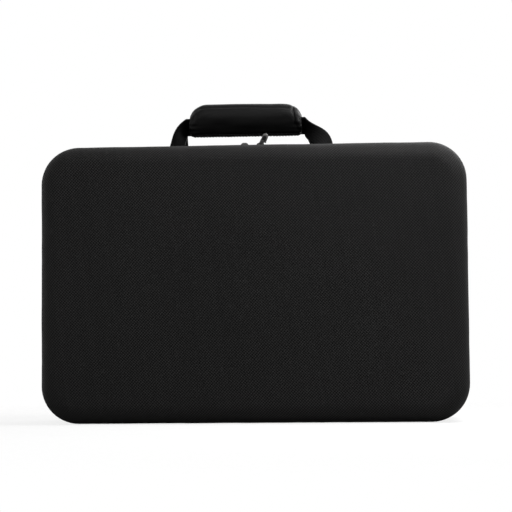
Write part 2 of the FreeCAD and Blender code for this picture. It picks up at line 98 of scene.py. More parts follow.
def tube(rings, sides, first=0):
    """Faces of a closed tube through rings of points, with its two ends."""
    last = first + (rings - 1) * sides
    ends = [tuple(range(end, end + sides)) for end in (first, last)]
    return quads(rings, sides, first, closed=True) + ends


def in_scene(name, data):
    """A new object in the scene."""
    piece = bpy.data.objects.new(name, data)
    bpy.context.scene.collection.objects.link(piece)
    return piece


def mesh_piece(name, points, faces, face_uvs=None, finishes=None, weld=0.0):
    """A smooth-shaded mesh object from points in millimetres, with its cloth coordinates in millimetres."""
    mesh = bpy.data.meshes.new(name)
    mesh.from_pydata((np.asarray(points, float) * MM).tolist(), [], faces)
    if face_uvs is not None:
        layer = mesh.uv_layers.new(name="cloth")
        layer.data.foreach_set("uv", np.asarray(face_uvs, np.float32).ravel())
    if finishes is not None:
        mesh.polygons.foreach_set("material_index", finishes)
    sorted_mesh = bmesh.new()
    sorted_mesh.from_mesh(mesh)
    if weld:
        bmesh.ops.remove_doubles(sorted_mesh, verts=sorted_mesh.verts, dist=weld * MM)
    bmesh.ops.recalc_face_normals(sorted_mesh, faces=sorted_mesh.faces)
    sorted_mesh.to_mesh(mesh)
    sorted_mesh.free()
    mesh.shade_smooth()
    return in_scene(name, mesh)


def moulded_unevenness(x, y, z):
    """How far the moulded surface stands off its nominal place, in millimetres."""
    return sum(rise * noise.noise(Vector((x, y, z)) / width) for rise, width in MOULD_WAVES)


def half_shell(name, face_y, depth, inward, crown):
    """One moulded shell, nylon outside and lining inside, with its rim rounded and grooved for sewing."""
    outer = [(CORNER, 0.0, 0, 1), (34.0, 0.0, 0, 1), (27.0, 0.0, 0, 1)]
    for step in range(13):
        turn = math.pi / 2 * step / 12
        outer.append((FACE_ROUND * (1 - math.sin(turn)), FACE_ROUND * (1 - math.cos(turn)),
                      math.sin(turn), math.cos(turn)))
    groove = depth - SEW_LINE
    wall_steps = 5 if depth < 80 else 10
    for step in range(1, wall_steps + 1):
        outer.append((0.0, FACE_ROUND + (groove - 2.4 - FACE_ROUND) * step / wall_steps, 1, 0))
    outer += [(inset, reach, 0, 0) for inset, reach in (
        (SEW_GROOVE * 0.4, groove - 1.1), (SEW_GROOVE, groove), (SEW_GROOVE * 0.4, groove + 1.1),
        (0.0, groove + 2.2), (0.1, depth - 0.9), (0.35, depth - 0.35), (0.8, depth - 0.05), (1.3, depth))]
    radius, step_at = FACE_ROUND - WALL, depth - RIM_STEP
    inner = [(CORNER, WALL), (30.0, WALL)]
    for step in range(9):
        turn = math.pi / 2 * step / 8
        inner.append((WALL + radius * (1 - math.sin(turn)), WALL + radius * (1 - math.cos(turn))))
    inner += [(WALL, FACE_ROUND + (step_at - 3 - FACE_ROUND) * share) for share in (0.25, 0.5, 0.75, 1)]
    inner += [(WALL - 0.5, step_at - 1.5), (RIM_WALL + 0.5, step_at - 0.4), (RIM_WALL, step_at + 0.6),
              (RIM_WALL, depth - 3.0), (RIM_WALL - 0.1, depth - 0.6), (RIM_WALL - 0.5, depth - 0.12)]
    inner = [(inset, reach, 0, 0) for inset, reach in inner]
    places = outline_stations(x_steps=48, z_steps=32, corner_steps=14)
    count = len(places)
    points, faces, uvs, finishes = [], [], [], []

    def crowned(x, z):
        """How far the moulded face bulges, in millimetres."""
        across, up = x / (HALF_WIDTH - FACE_ROUND), (z - HALF_HEIGHT) / (HALF_HEIGHT - FACE_ROUND)
        return crown * max(0, 1 - across ** 2) * max(0, 1 - up ** 2)

    rows = []
    for profile, finish in ((outer, 0), (inner, 1)):
        lengths = distances([step[:2] for step in profile])
        ring_start = len(rows)
        for (inset, reach, side_push, face_push), length in zip(profile, lengths):
            first = len(points)
            for cx, cz, nx, nz, _, _ in places:
                x, z = cx + nx * (CORNER - inset), cz + nz * (CORNER - inset)
                y = face_y + inward * reach
                off = moulded_unevenness(x, y, z)
                under = max(0, min(1, -nz / 0.6 - 0.5))
                side_off = (off * (1 - under) - abs(off) * under) * side_push
                lift = (-abs(off) if crown == 0 else off) * face_push
                lift += crowned(x, z) if reach <= WALL else 0
                points.append((x + nx * side_off, y - inward * lift, z + nz * side_off))
            rows.append((first, length))
        for (here, l0), (there, l1) in zip(rows[ring_start:], rows[ring_start + 1:]):
            on_wall = min(l0, l1) > CORNER + 0.5 * FACE_ROUND
            for i in range(count):
                j = (i + 1) % count
                corner = places[j][4]
                for k, length in ((i, l0), (j, l0), (j, l1), (i, l1)):
                    cx, cz, nx, nz, own_corner, turn = places[k]
                    if corner is None:
                        nx, nz = places[j][2:4]
                    elif on_wall:
                        (nx, nz), along = CORNER_STARTS[corner]
                        rolled = CORNER * turn if own_corner == corner else 0.0
                        cx, cz = (c + t * rolled for c, t in zip(CORNER_CENTRES[corner], along))
                    uvs.append((cx + nx * length, cz + nz * length))
                faces.append((here + i, here + j, there + j, there + i))
                finishes.append(finish)
        columns, lines, y = 48, 32, face_y + inward * profile[0][1]
        first = len(points)
        for row in range(lines + 1):
            for column in range(columns + 1):
                x = CORE_X * (2 * column / columns - 1)
                z = HALF_HEIGHT + CORE_Z * (2 * row / lines - 1)
                off = moulded_unevenness(x, y, z) if finish == 0 else 0.0
                off = -abs(off) if crown == 0 else off
                points.append((x, y - inward * (crowned(x, z) + off), z))
        face = quads(lines + 1, columns + 1, first)
        faces += face
        uvs += [(points[p][0], points[p][2]) for quad in face for p in quad]
        finishes += [finish] * len(face)
    outer_rim, inner_rim = rows[len(outer) - 1][0], rows[-1][0]
    for i in range(count):
        j = (i + 1) % count
        faces.append((outer_rim + i, outer_rim + j, inner_rim + j, inner_rim + i))
        uvs += [(i, 0), (i + 1, 0), (i + 1, 1), (i, 1)]
        finishes.append(0)
    return mesh_piece(name, points, faces, uvs, finishes, weld=0.004)


def wire(tree, kind, inputs=None, **settings):
    """Adds a shader node. Its inputs are values, or outputs of other nodes to link."""
    added = tree.nodes.new("ShaderNode" + kind)
    for setting, value in settings.items():
        setattr(added, setting, value)
    for socket, value in (inputs or {}).items():
        if isinstance(value, bpy.types.NodeSocket):
            tree.links.new(value, added.inputs[socket])
        else:
            added.inputs[socket].default_value = value
    return added


def calc(tree, operation, *values):
    """The result of a Math node."""
    return wire(tree, "Math", dict(enumerate(values)), operation=operation).outputs[0]


def colour_between(tree, share, dark, light):
    """A colour mixed from two by share."""
    return wire(tree, "Mix", {0: share, 6: dark, 7: light}, data_type="RGBA").outputs[2]


def new_effect(name, inputs, outputs):
    """An empty node group, with its tree, its input sockets and its output sockets."""
    group = bpy.data.node_groups.new(name, "ShaderNodeTree")
    for label, kind in inputs.items():
        group.interface.new_socket(label, in_out="INPUT", socket_type="NodeSocket" + kind)
    for label in outputs:
        group.interface.new_socket(label, in_out="OUTPUT", socket_type="NodeSocketFloat")
    return group, group.nodes.new("NodeGroupInput").outputs, group.nodes.new("NodeGroupOutput").inputs


def place(tree, group, inputs):
    """Sets a node group in a material, and gives its outputs."""
    return wire(tree, "Group", inputs, node_tree=group).outputs


def hump(tree, reach):
    """A rounded ridge over each whole step of reach."""
    return calc(tree, "SINE", calc(tree, "MULTIPLY", calc(tree, "FRACT", reach), math.pi))


tree, given, put = new_effect(
    "basket_weave", {"Cloth": "Vector", "Pitch": "Float", "Lean": "Float"}, ("Height", "Yarn", "Warp"))
basket_weave = tree
laid = wire(tree, "SeparateXYZ", {0: given["Cloth"]}).outputs
upright = calc(tree, "SUBTRACT", laid[0], calc(tree, "MULTIPLY", laid[1], given["Lean"]))
across = [calc(tree, "DIVIDE", reach, given["Pitch"]) for reach in (upright, laid[1])]
cells = [calc(tree, "FLOOR", reach) for reach in across]
over = calc(tree, "FLOORED_MODULO", calc(tree, "ADD", *cells), 2.0)
pairs = [calc(tree, "MULTIPLY", reach, 2.0) for reach in across]
floats = [hump(tree, reach) for reach in across]
yarn_heights = []
for near, far in ((0, 1), (1, 0)):
    rounded = calc(tree, "POWER", hump(tree, pairs[near]), 0.5)
    yarn_heights.append(calc(
        tree, "MULTIPLY", rounded, calc(tree, "MULTIPLY_ADD", floats[far], 0.65, 0.35)))
height = wire(tree, "Mix", {0: over, 2: yarn_heights[0], 3: yarn_heights[1]}).outputs[0]
tree.links.new(height, put["Height"])
WEFT_NUMBERS = 4013.0
yarn_number = wire(tree, "Mix", {
    0: over, 2: calc(tree, "FLOOR", pairs[0]),
    3: calc(tree, "ADD", calc(tree, "FLOOR", pairs[1]), WEFT_NUMBERS)}).outputs[0]
yarn_tone = wire(tree, "TexWhiteNoise", {"W": yarn_number}, noise_dimensions="1D").outputs["Value"]
tree.links.new(yarn_tone, put["Yarn"])
tree.links.new(calc(tree, "SUBTRACT", 1.0, over), put["Warp"])

tree, given, put = new_effect("handling_marks", {"Place": "Vector", "Size": "Float"}, ("Mottle", "Lint"))
handling = tree
broad = wire(tree, "TexNoise", {"Vector": given["Place"], "Scale": given["Size"], "Detail": 4.0})
fine_scale = calc(tree, "MULTIPLY", given["Size"], 24.0)
fine = wire(tree, "TexNoise", {"Vector": given["Place"], "Scale": fine_scale, "Detail": 2.0})
tree.links.new(broad.outputs[0], put["Mottle"])
lint = wire(tree, "MapRange", {0: fine.outputs[0], 1: 0.62, 2: 0.8, 3: 0.0, 4: 1.0})
tree.links.new(lint.outputs[0], put["Lint"])


def new_finish(name, constants):
    """A material with its shader's constant values set."""
    material = bpy.data.materials.new(name)
    material.use_nodes = True
    shader = material.node_tree.nodes["Principled BSDF"]
    for socket, value in constants.items():
        shader.inputs[socket].default_value = value
    return material, material.node_tree, shader


def cloth_place(tree):
    """Coordinates on the laid-out cloth, in millimetres."""
    return wire(tree, "UVMap", uv_map="cloth").outputs[0]


def object_place(tree):
    """Coordinates in the object's own frame, in metres."""
    return wire(tree, "TexCoord").outputs["Object"]


def marked(tree, size):
    """The marks of handling on a surface."""
    return place(tree, handling, {"Place": object_place(tree), "Size": size})


def dress(tree, shader, colour, marks, roughness, height, bump):
    """Links a finish: its colour, its roughness (spread by the marks, least) and its bump (strength, mm)."""
    strength, rise = bump
    tree.links.new(colour, shader.inputs["Base Color"])
    tree.links.new(calc(tree, "MULTIPLY_ADD", marks["Mottle"], *roughness), shader.inputs["Roughness"])
    raised = wire(tree, "Bump", {"Height": height, "Strength": strength, "Distance": rise * MM})
    tree.links.new(raised.outputs[0], shader.inputs["Normal"])


def grained(tree, shader, height, size, dark, light, roughness, bump):
    """Dresses a finish whose grain shows in its height, with painted shade that darkens its colour where the
    grain lies low.
    """
    marks = marked(tree, size)
    # painted shade: the colour darkens where the grain lies low; the rest of the tone is mottled by handling
    # marks
    tone = calc(tree, "MULTIPLY_ADD", height, 0.5, calc(tree, "MULTIPLY", marks["Mottle"], 0.5))
    colour = colour_between(tree, tone, (*dark, 1), (*light, 1))
    dress(tree, shader, colour, marks, roughness, height, bump)


nylon, tree, shader = new_finish("shell_nylon", {"Specular IOR Level": 0.08})
weave = place(tree, basket_weave, {"Cloth": cloth_place(tree), "Pitch": 1.6, "Lean": -0.13})
marks = marked(tree, 7.0)
tone = calc(tree, "MULTIPLY_ADD", marks["Mottle"], 0.5, 0.42)
tone = calc(tree, "MULTIPLY_ADD", weave["Yarn"], 0.15, tone)
tone = calc(tree, "MULTIPLY", tone, calc(tree, "MULTIPLY_ADD", weave["Warp"], 0.98, 0.07))
# painted shade: the colour darkens where the weave lies low, between the yarns
tone = calc(tree, "MULTIPLY", tone, calc(tree, "MULTIPLY_ADD", weave["Height"], 0.6, 0.55))
colour = colour_between(tree, tone, (0.0006, 0.0006, 0.0007, 1), (0.026, 0.0255, 0.0253, 1))
worn = colour_between(tree, calc(tree, "MULTIPLY", marks["Lint"], 0.25), colour, (0.03, 0.03, 0.03, 1))
dress(tree, shader, worn, marks, (0.2, 0.5), weave["Height"], (0.6, 0.4))

lining, tree, shader = new_finish("knitted_lining", {
    "Specular IOR Level": 0.1, "Sheen Weight": 0.1, "Sheen Roughness": 0.6})
knit = place(tree, basket_weave, {"Cloth": cloth_place(tree), "Pitch": 1.2})
grained(tree, shader, knit["Height"], size=9.0, dark=(0.016, 0.016, 0.017), light=(0.055, 0.055, 0.058),
        roughness=(0.15, 0.8), bump=(0.4, 0.25))

for body, face_y, rim_y, inward, crown in (
    ("lid", FRONT_Y, LID_RIM_Y, 1, LID_CROWN), ("base", REAR_Y, BASE_RIM_Y, -1, BASE_CROWN),
):
    shell = half_shell(body + "_moulded_shell", face_y, abs(rim_y - face_y), inward, crown)
    shell.data.materials.append(nylon)
    shell.data.materials.append(lining)
    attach(shell, body)
    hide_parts(body + "_shell")


# Zip tapes: polyester herringbone tape, woven flat, its inner half sewn under the rim of each shell and its
# outer half showing beside the teeth. It stops short of the fabric hinge at the bottom.
TAPE_INSETS, TAPE_TUCK, CHAIN_GAP, HINGE_HALF = (2.7, 3.5), 10.5, 1.8, 151.5
RIMS = (("lid", LID_RIM_Y, -1), ("base", BASE_RIM_Y, 1))


def edge_band(name, profile, open_half):
    """A strip of cloth that follows the case's outline, from its closed cross-section of (inset, y)."""
    places = outline_stations(x_steps=96, z_steps=64, corner_steps=16, open_half=open_half)
    lengths = distances(profile)
    run = distances([(cx + CORNER * nx, cz + CORNER * nz) for cx, cz, nx, nz, _, _ in places])
    points = [(cx + nx * (CORNER - inset), y, cz + nz * (CORNER - inset))
              for cx, cz, nx, nz, _, _ in places for inset, y in profile]
    size, faces, uvs = len(profile), [], []
    for i in range(len(places) - (1 if open_half else 0)):
        j = (i + 1) % len(places)
        for k in range(size):
            m = (k + 1) % size
            faces.append((i * size + k, j * size + k, j * size + m, i * size + m))
            uvs += [(lengths[k], run[i]), (lengths[k], run[i + 1]), (lengths[k + 1], run[i + 1]),
                    (lengths[k + 1], run[i])]
    if open_half:
        for i in (0, len(places) - 1):
            faces.append(tuple(i * size + k for k in range(size)))
            uvs += [(lengths[k], run[i]) for k in range(size)]
    return mesh_piece(name, points, faces, uvs)


def strip_section(inset_from, inset_to, y_from, y_to, soften, steps):
    """The closed cross-section of a flat strip with softened edges."""
    flat = y_to - y_from - 2 * soften
    near = [(inset_from, y_from + soften + flat * k / steps) for k in range(steps + 1)]
    far = [(inset_to, y) for _, y in reversed(near)]
    middle = (inset_from + inset_to) / 2
    return near + [(middle, y_to)] + far + [(middle, y_from)]


tree, given, put = new_effect(
    "rib_weave", {"Cloth": "Vector", "Rib": "Float", "Pick": "Float", "Zigzag": "Float"},
    ("Height", "Thread"))
rib_weave = tree
laid = wire(tree, "SeparateXYZ", {0: given["Cloth"]}).outputs
rib_place = calc(tree, "DIVIDE", laid[0], given["Rib"])
slant = calc(tree, "MULTIPLY", calc(tree, "PINGPONG", rib_place, 1.0), given["Zigzag"])
pick_place = calc(tree, "ADD", calc(tree, "DIVIDE", laid[1], given["Pick"]), slant)
height = calc(tree, "MULTIPLY", calc(tree, "POWER", hump(tree, rib_place), 0.5),
              calc(tree, "MULTIPLY_ADD", hump(tree, pick_place), 0.6, 0.4))
tree.links.new(height, put["Height"])
thread_number = calc(tree, "MULTIPLY_ADD", calc(tree, "FLOOR", rib_place), 17.3,
                     calc(tree, "FLOOR", pick_place))
thread_tone = wire(tree, "TexWhiteNoise", {"W": thread_number}, noise_dimensions="1D").outputs["Value"]
tree.links.new(thread_tone, put["Thread"])


def ribbed_finish(name, rib, pick, zigzag, dark, light, rise, constants):
    """A black woven tape, ribbon or webbing, from its rib and pick spacing in millimetres."""
    material, tree, shader = new_finish(name, constants)
    ribs = place(tree, rib_weave, {"Cloth": cloth_place(tree), "Rib": rib, "Pick": pick, "Zigzag": zigzag})
    marks = marked(tree, 12.0)
    # painted shade: the colour darkens in the grooves between the ribs; each thread's tone also differs at
    # random
    tone = calc(tree, "MULTIPLY_ADD", ribs["Thread"], 0.3, calc(tree, "MULTIPLY", ribs["Height"], 0.7))
    colour = colour_between(tree, tone, (*dark, 1), (*light, 1))
    dust = (*(3 * share for share in light), 1)
    linted = colour_between(tree, calc(tree, "MULTIPLY", marks["Lint"], 0.3), colour, dust)
    dress(tree, shader, linted, marks, (0.2, 0.55), ribs["Height"], (0.7, rise))
    return material


tape_weave = ribbed_finish(
    "zip_tape_weave", rib=1.5, pick=0.9, zigzag=1.0, dark=(0.005, 0.005, 0.0055), light=(0.018, 0.018, 0.019),
    rise=0.25, constants={"Specular IOR Level": 0.15, "Sheen Weight": 0.04})
for body, rim_y, inward in RIMS:
    section = strip_section(*TAPE_INSETS, ZIP_Y + inward * CHAIN_GAP / 2, rim_y + inward * TAPE_TUCK,
                            soften=0.3, steps=6)
    tape = edge_band(body + "_zip_tape", section, HINGE_HALF)
    tape.data.materials.append(tape_weave)
    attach(tape, body)
    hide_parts("zip_tape_" + body)


# Zip teeth: one long nylon monofilament per side, wound into a flattened coil and sewn along the tape's edge,
# so each turn shows as a small slanted loop whose head locks between two heads of the other side.
TOOTH_PITCH, TOOTH_FOOT, TOOTH_TOP = 1.9, 2.6, 0.4
TOOTH_RINGS = ((-0.45, 0.25, 0.55), (-0.1, 0.5, 0.86), (0.5, 0.58, 1.0), (1.5, 0.5, 0.95), (2.6, 0.46, 0.84),
               (3.3, 0.4, 0.6), (3.6, 0.22, 0.4))


def edge_frame(s, inset):
    """Place on the case's outline at s from the bottom's middle: point, direction and outward normal."""
    radius = CORNER - inset
    arc = radius * math.pi / 2
    sides = (CORE_X, 2 * CORE_Z, 2 * CORE_X, 2 * CORE_Z, CORE_X)
    starts = ((0, CORNER), *CORNER_CENTRES)
    for side, (length, (x, z)) in enumerate(zip(sides, starts)):
        normal, along = CORNER_STARTS[side % 4]
        if s <= length or side == 4:
            core = (x + along[0] * s, z + along[1] * s)
            return core[0] + normal[0] * radius, core[1] + normal[1] * radius, along, normal
        s -= length
        if s <= arc:
            turn = s / radius
            turned = [n * math.cos(turn) + t * math.sin(turn) for n, t in zip(normal, along)]
            heading = [t * math.cos(turn) - n * math.sin(turn) for n, t in zip(normal, along)]
            x, z = CORNER_CENTRES[side]
            return x + turned[0] * radius, z + turned[1] * radius, heading, turned
        s -= arc


def edge_length(inset):
    """Length of the case's outline at an inset."""
    return 4 * (CORE_X + CORE_Z) + 2 * math.pi * (CORNER - inset)


def edge_places(inset, y, pitch, margin):
    """Evenly spaced frames along the outline: origin, along, across (+Y) and out."""
    total = edge_length(inset) - 2 * margin
    count = round(total / pitch)
    frames = []
    for k in range(count):
        x, z, along, out = edge_frame(margin + total * (k + 0.5) / count, inset)
        frames.append(((x, y, z), (along[0], 0, along[1]), (0, 1, 0), (out[0], 0, out[1])))
    return frames


def copies(name, points, faces, frames):
    """One mesh with a copy of a small shape at each frame."""
    shape = np.asarray(points, float)
    stacked = [np.asarray(origin) + shape @ np.array(axes, float) for origin, *axes in frames]
    count = len(shape)
    every = [tuple(k * count + v for v in face) for k in range(len(frames)) for face in faces]
    return mesh_piece(name, np.concatenate(stacked), every)


def lathed_bar(rings, sides):
    """A closed bar from rings of (place, (offset along, offset out), half width, half height)."""
    points = []
    for centre, (push, lift), half_width, half_height in rings:
        for k in range(sides):
            turn = 2 * math.pi * k / sides
            points.append((push + half_width * math.cos(turn), centre, lift + half_height * math.sin(turn)))
    return points, tube(len(rings), sides)


def mottled_finish(name, constants, size, dark, light, roughness, bump, height="Mottle"):
    """A plain finish that varies only by its marks of handling."""
    material, tree, shader = new_finish(name, constants)
    marks = marked(tree, size)
    colour = colour_between(tree, marks["Mottle"], (*dark, 1), (*light, 1))
    dress(tree, shader, colour, marks, roughness, marks[height], bump)
    return material


teeth_nylon = mottled_finish(
    "zip_teeth_nylon", {"Specular IOR Level": 0.35}, size=60.0, dark=(0.006, 0.006, 0.007),
    light=(0.022, 0.022, 0.024), roughness=(0.25, 0.25), bump=(0.2, 0.1), height="Lint")
for body, _, inward in RIMS:
    half = (TOOTH_FOOT - TOOTH_TOP) / 2
    rings = [(inward * reach, (0.12 * reach, 0.0), width, half * share)
             for reach, width, share in TOOTH_RINGS]
    points, faces = lathed_bar(rings, sides=8)
    frames = edge_places(TOOTH_TOP + half, ZIP_Y, TOOTH_PITCH, HINGE_HALF)
    if inward > 0:
        frames = [(tuple(np.add(origin, np.multiply(along, TOOTH_PITCH / 2))), along, *rest)
                  for origin, along, *rest in frames[:-1]]
    teeth = copies(body + "_zip_teeth", points, faces, frames)
    teeth.data.materials.append(teeth_nylon)
    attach(teeth, body)
    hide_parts("zip_coil_" + body)


# Rim ribbons: grosgrain ribbon sewn over the raw edge of tape and foam inside each shell, and the lockstitch
# rows of bonded thread that go through ribbon, tape and rim, seen on both sides.
RIBBON_INSETS, RIBBON_WIDTH = (3.6, 4.9), 11.0
STITCH_PITCH, STITCH_LENGTH, THREAD_HALF = 4.2, 3.5, 0.36


def stitch_shape(length, half):
    """One lockstitch: a short thread that dips into the cloth at both ends."""
    rings = []
    for share in (-1, -0.85, -0.45, 0, 0.45, 0.85, 1):
        thin = 0.45 if abs(share) == 1 else 1.0
        rings.append((share * length / 2, (0.0, half * (0.35 - 1.3 * share ** 4)), half * thin, half * thin))
    points, faces = lathed_bar(rings, sides=6)
    return [(y, x, z) for x, y, z in points], faces


thread = mottled_finish(
    "bonded_thread", {"Specular IOR Level": 0.25, "Sheen Weight": 0.05}, size=90.0,
    dark=(0.006, 0.006, 0.007), light=(0.03, 0.03, 0.032), roughness=(0.2, 0.4), bump=(0.3, 0.2))
grosgrain = ribbed_finish(
    "grosgrain", rib=40.0, pick=1.1, zigzag=0.0, dark=(0.006, 0.006, 0.0065), light=(0.026, 0.026, 0.028),
    rise=0.3, constants={"Specular IOR Level": 0.18, "Sheen Weight": 0.05})
stitch_points, stitch_faces = stitch_shape(STITCH_LENGTH, THREAD_HALF)
for body, rim_y, inward in RIMS:
    section = strip_section(*RIBBON_INSETS, rim_y + inward * 0.2, rim_y + inward * RIBBON_WIDTH,
                            soften=0.5, steps=8)
    ribbon = edge_band(body + "_rim_ribbon", section, 0.0)
    ribbon.data.materials.append(grosgrain)
    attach(ribbon, body)
    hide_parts(body + "_rim_binding")
    sew_y = rim_y + inward * SEW_LINE
    outside = edge_places(SEW_GROOVE - 0.1, sew_y, STITCH_PITCH, margin=0.0)
    inside = edge_places(RIBBON_INSETS[1] + 0.05, sew_y, STITCH_PITCH, margin=0.0)
    inside = [(*rest, tuple(-c for c in out)) for *rest, out in inside]
    rows = copies(body + "_rim_stitches", stitch_points, stitch_faces, outside + inside)
    rows.data.materials.append(thread)
    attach(rows, body)


# Fabric hinge: a doubled strip of woven nylon along the bottom, sewn under both rims.
HINGE_LENGTH, HINGE_Z = 300.0, (2.7, 3.5)


def grid_rim(rows, columns):
    """The points round the outside of a grid of points, in order."""
    rim = list(range(columns)) + [row * columns + columns - 1 for row in range(1, rows)]
    rim += [(rows - 1) * columns + column for column in range(columns - 2, -1, -1)]
    return rim + [row * columns for row in range(rows - 2, 0, -1)]


def cloth_slab(name, x_range, y_range, z_range, x_steps, y_steps):
    """A thin closed sheet lying level, with cloth coordinates."""
    xs = [x_range[0] + (x_range[1] - x_range[0]) * k / x_steps for k in range(x_steps + 1)]
    ys = [y_range[0] + (y_range[1] - y_range[0]) * k / y_steps for k in range(y_steps + 1)]
    points = [(x, y, z) for z in z_range for y in ys for x in xs]
    layer, rim = len(xs) * len(ys), grid_rim(len(ys), len(xs))
    faces = quads(len(ys), len(xs)) + quads(len(ys), len(xs), layer)
    faces += [(a, b, b + layer, a + layer) for a, b in zip(rim, rim[1:] + rim[:1])]
    return mesh_piece(name, points, faces, [points[p][:2] for face in faces for p in face])


hinge_weave = ribbed_finish(
    "hinge_weave", rib=1.2, pick=1.2, zigzag=0.5, dark=(0.006, 0.006, 0.0065), light=(0.018, 0.018, 0.019),
    rise=0.3, constants={"Specular IOR Level": 0.15, "Sheen Weight": 0.04})
hinge = cloth_slab("fabric_hinge", (-HINGE_LENGTH / 2, HINGE_LENGTH / 2),
                   (LID_RIM_Y - TAPE_TUCK, BASE_RIM_Y + TAPE_TUCK), HINGE_Z, x_steps=100, y_steps=66)
hinge.data.materials.append(hinge_weave)
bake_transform(hinge)
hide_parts("hinge_strip")


# Zip sliders and pullers: zinc die castings with a dark nickel plating that brightens on the worn edges, and
# a painted highlight that lightens the pullers' tips and the tops of the sliders' bridges. A black rubber
# inlay is pressed into each puller's frame, and a small stamped plate that locks the zip stands in each
# slider's bridge, above the puller's pin.
SLIDER_EDGE, PULLER_EDGE, INLAY_EDGE, LOCK_EDGE = 0.35, 0.3, 0.3, 0.2
PIVOT_X, PIVOT_Z, TIP_REACH = {"left": -11.6, "right": 5.6}, 296.1, 17.0
LOCK_HALF, LOCK_TOP, LOCK_ROUND, LOCK_FOOT, LOCK_PIN, LOCK_THICK = 2.95, 4.45, 2.0, 0.6, 1.35, 2.4


def round_edges(mesh, least_turn, edge, steps):
    """Rounds a casting's edges that turn by more than some degrees."""
    cast = bmesh.new()
    cast.from_mesh(mesh)
    bmesh.ops.remove_doubles(cast, verts=cast.verts, dist=0.002 * MM)
    bmesh.ops.dissolve_limit(cast, angle_limit=math.radians(2), verts=cast.verts, edges=cast.edges)
    turned = [e for e in cast.edges if e.calc_face_angle(0) > math.radians(least_turn)]
    bmesh.ops.bevel(cast, geom=turned, offset=edge * MM, segments=steps, profile=0.5, affect="EDGES",
                    clamp_overlap=True)
    bmesh.ops.triangulate(cast, faces=[f for f in cast.faces if len(f.verts) > 4])
    cast.to_mesh(mesh)
    cast.free()
    mesh.shade_smooth()
    mesh.set_sharp_from_angle(angle=math.radians(38))


def rounded_copy(node, name, edge, steps):
    """A new piece in a CAD node's place, its edges rounded as a casting's are."""
    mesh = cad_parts[node].data.copy()
    mesh.materials.clear()
    round_edges(mesh, least_turn=28, edge=edge, steps=steps)
    return in_scene(name, mesh)


def paint_highlight(piece, x, at_tip):
    """Paints a highlight into the plating's colour: lighter towards a puller's tip, or towards the top of a
    slider's bridge.
    """
    pivot, shares = Vector((x, ZIP_Y, PIVOT_Z)), []
    for vertex in piece.data.vertices:
        reach = vertex.co / MM - pivot
        share = (reach.length / TIP_REACH - 0.72) / 0.22 if at_tip else 0.7 * min(1, (reach.z - 1) / 4)
        shares.append(max(0.0, min(1.0, share)))
    piece.data.attributes.new("painted_highlight", "FLOAT", "POINT").data.foreach_set("value", shares)


def lock_plate(name, x):
    """The plate in a slider's bridge: its top fills the arch, its foot is cut out round the puller's pin."""
    inner_x, inner_z = LOCK_HALF - LOCK_ROUND, LOCK_TOP - LOCK_ROUND
    outline = [(LOCK_HALF, LOCK_FOOT)]
    for centre_x, first in ((inner_x, 0), (-inner_x, 90)):
        for step in range(7):
            turn = math.radians(first + 15 * step)
            outline.append((centre_x + LOCK_ROUND * math.cos(turn), inner_z + LOCK_ROUND * math.sin(turn)))
    outline.append((-LOCK_HALF, LOCK_FOOT))
    foot_turn = math.asin(LOCK_FOOT / LOCK_PIN)
    for step in range(13):
        turn = math.pi - foot_turn - (math.pi - 2 * foot_turn) * step / 12
        outline.append((LOCK_PIN * math.cos(turn), LOCK_PIN * math.sin(turn)))
    points = [(x + px, ZIP_Y + y, PIVOT_Z + pz)
              for y in (-LOCK_THICK / 2, LOCK_THICK / 2) for px, pz in outline]
    plate = mesh_piece(name, points, tube(2, len(outline)))
    round_edges(plate.data, least_turn=60, edge=LOCK_EDGE, steps=2)
    return plate


nickel, tree, shader = new_finish("dark_nickel", {"Metallic": 1.0})
marks = marked(tree, 160.0)
pointed = wire(tree, "NewGeometry").outputs["Pointiness"]
edges = wire(tree, "MapRange", {0: pointed, 1: 0.5, 2: 0.6}).outputs[0]
# painted highlight: this attribute lightens the puller's tip and the top of the slider's bridge; the lighter
# convex edges are wear
painted_highlight = wire(tree, "Attribute", attribute_name="painted_highlight").outputs["Fac"]
edge_wear_and_highlight = calc(tree, "MULTIPLY_ADD", edges, 0.12, calc(tree, "MULTIPLY", painted_highlight, 0.6))
tone = calc(tree, "MULTIPLY_ADD", marks["Mottle"], 0.1, edge_wear_and_highlight)
colour = colour_between(tree, tone, (0.003, 0.003, 0.0033, 1), (0.2, 0.196, 0.194, 1))
dress(tree, shader, colour, marks, (0.25, 0.38), marks["Mottle"], (0.15, 0.1))
rubber = mottled_finish(
    "inlay_rubber", {"Specular IOR Level": 0.12}, size=220.0, dark=(0.0015, 0.0015, 0.0017),
    light=(0.007, 0.007, 0.0075), roughness=(0.2, 0.55), bump=(0.4, 0.15))
for side in ("left", "right"):
    slider, puller = "slider_" + side, "puller_" + side
    for node, name, body, edge, finish, slot in (
        (slider, "cast_slider_" + side, slider, SLIDER_EDGE, nickel, "slider_metal"),
        ("puller_link_" + side, "cast_puller_" + side, puller, PULLER_EDGE, nickel, "slider_metal"),
        ("puller_inlay_" + side, "rubber_inlay_" + side, puller, INLAY_EDGE, rubber, "puller_rubber"),
    ):
        casting = rounded_copy(node, name, edge, steps=3)
        if finish == nickel:
            paint_highlight(casting, PIVOT_X[side], "puller" in node)
        casting.data.materials.append(finish)
        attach(casting, body)
        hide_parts(node)
    plate = lock_plate("lock_plate_" + side, PIVOT_X[side])
    paint_highlight(plate, PIVOT_X[side], False)
    plate.data.materials.append(nickel)
    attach(plate, "slider_" + side)


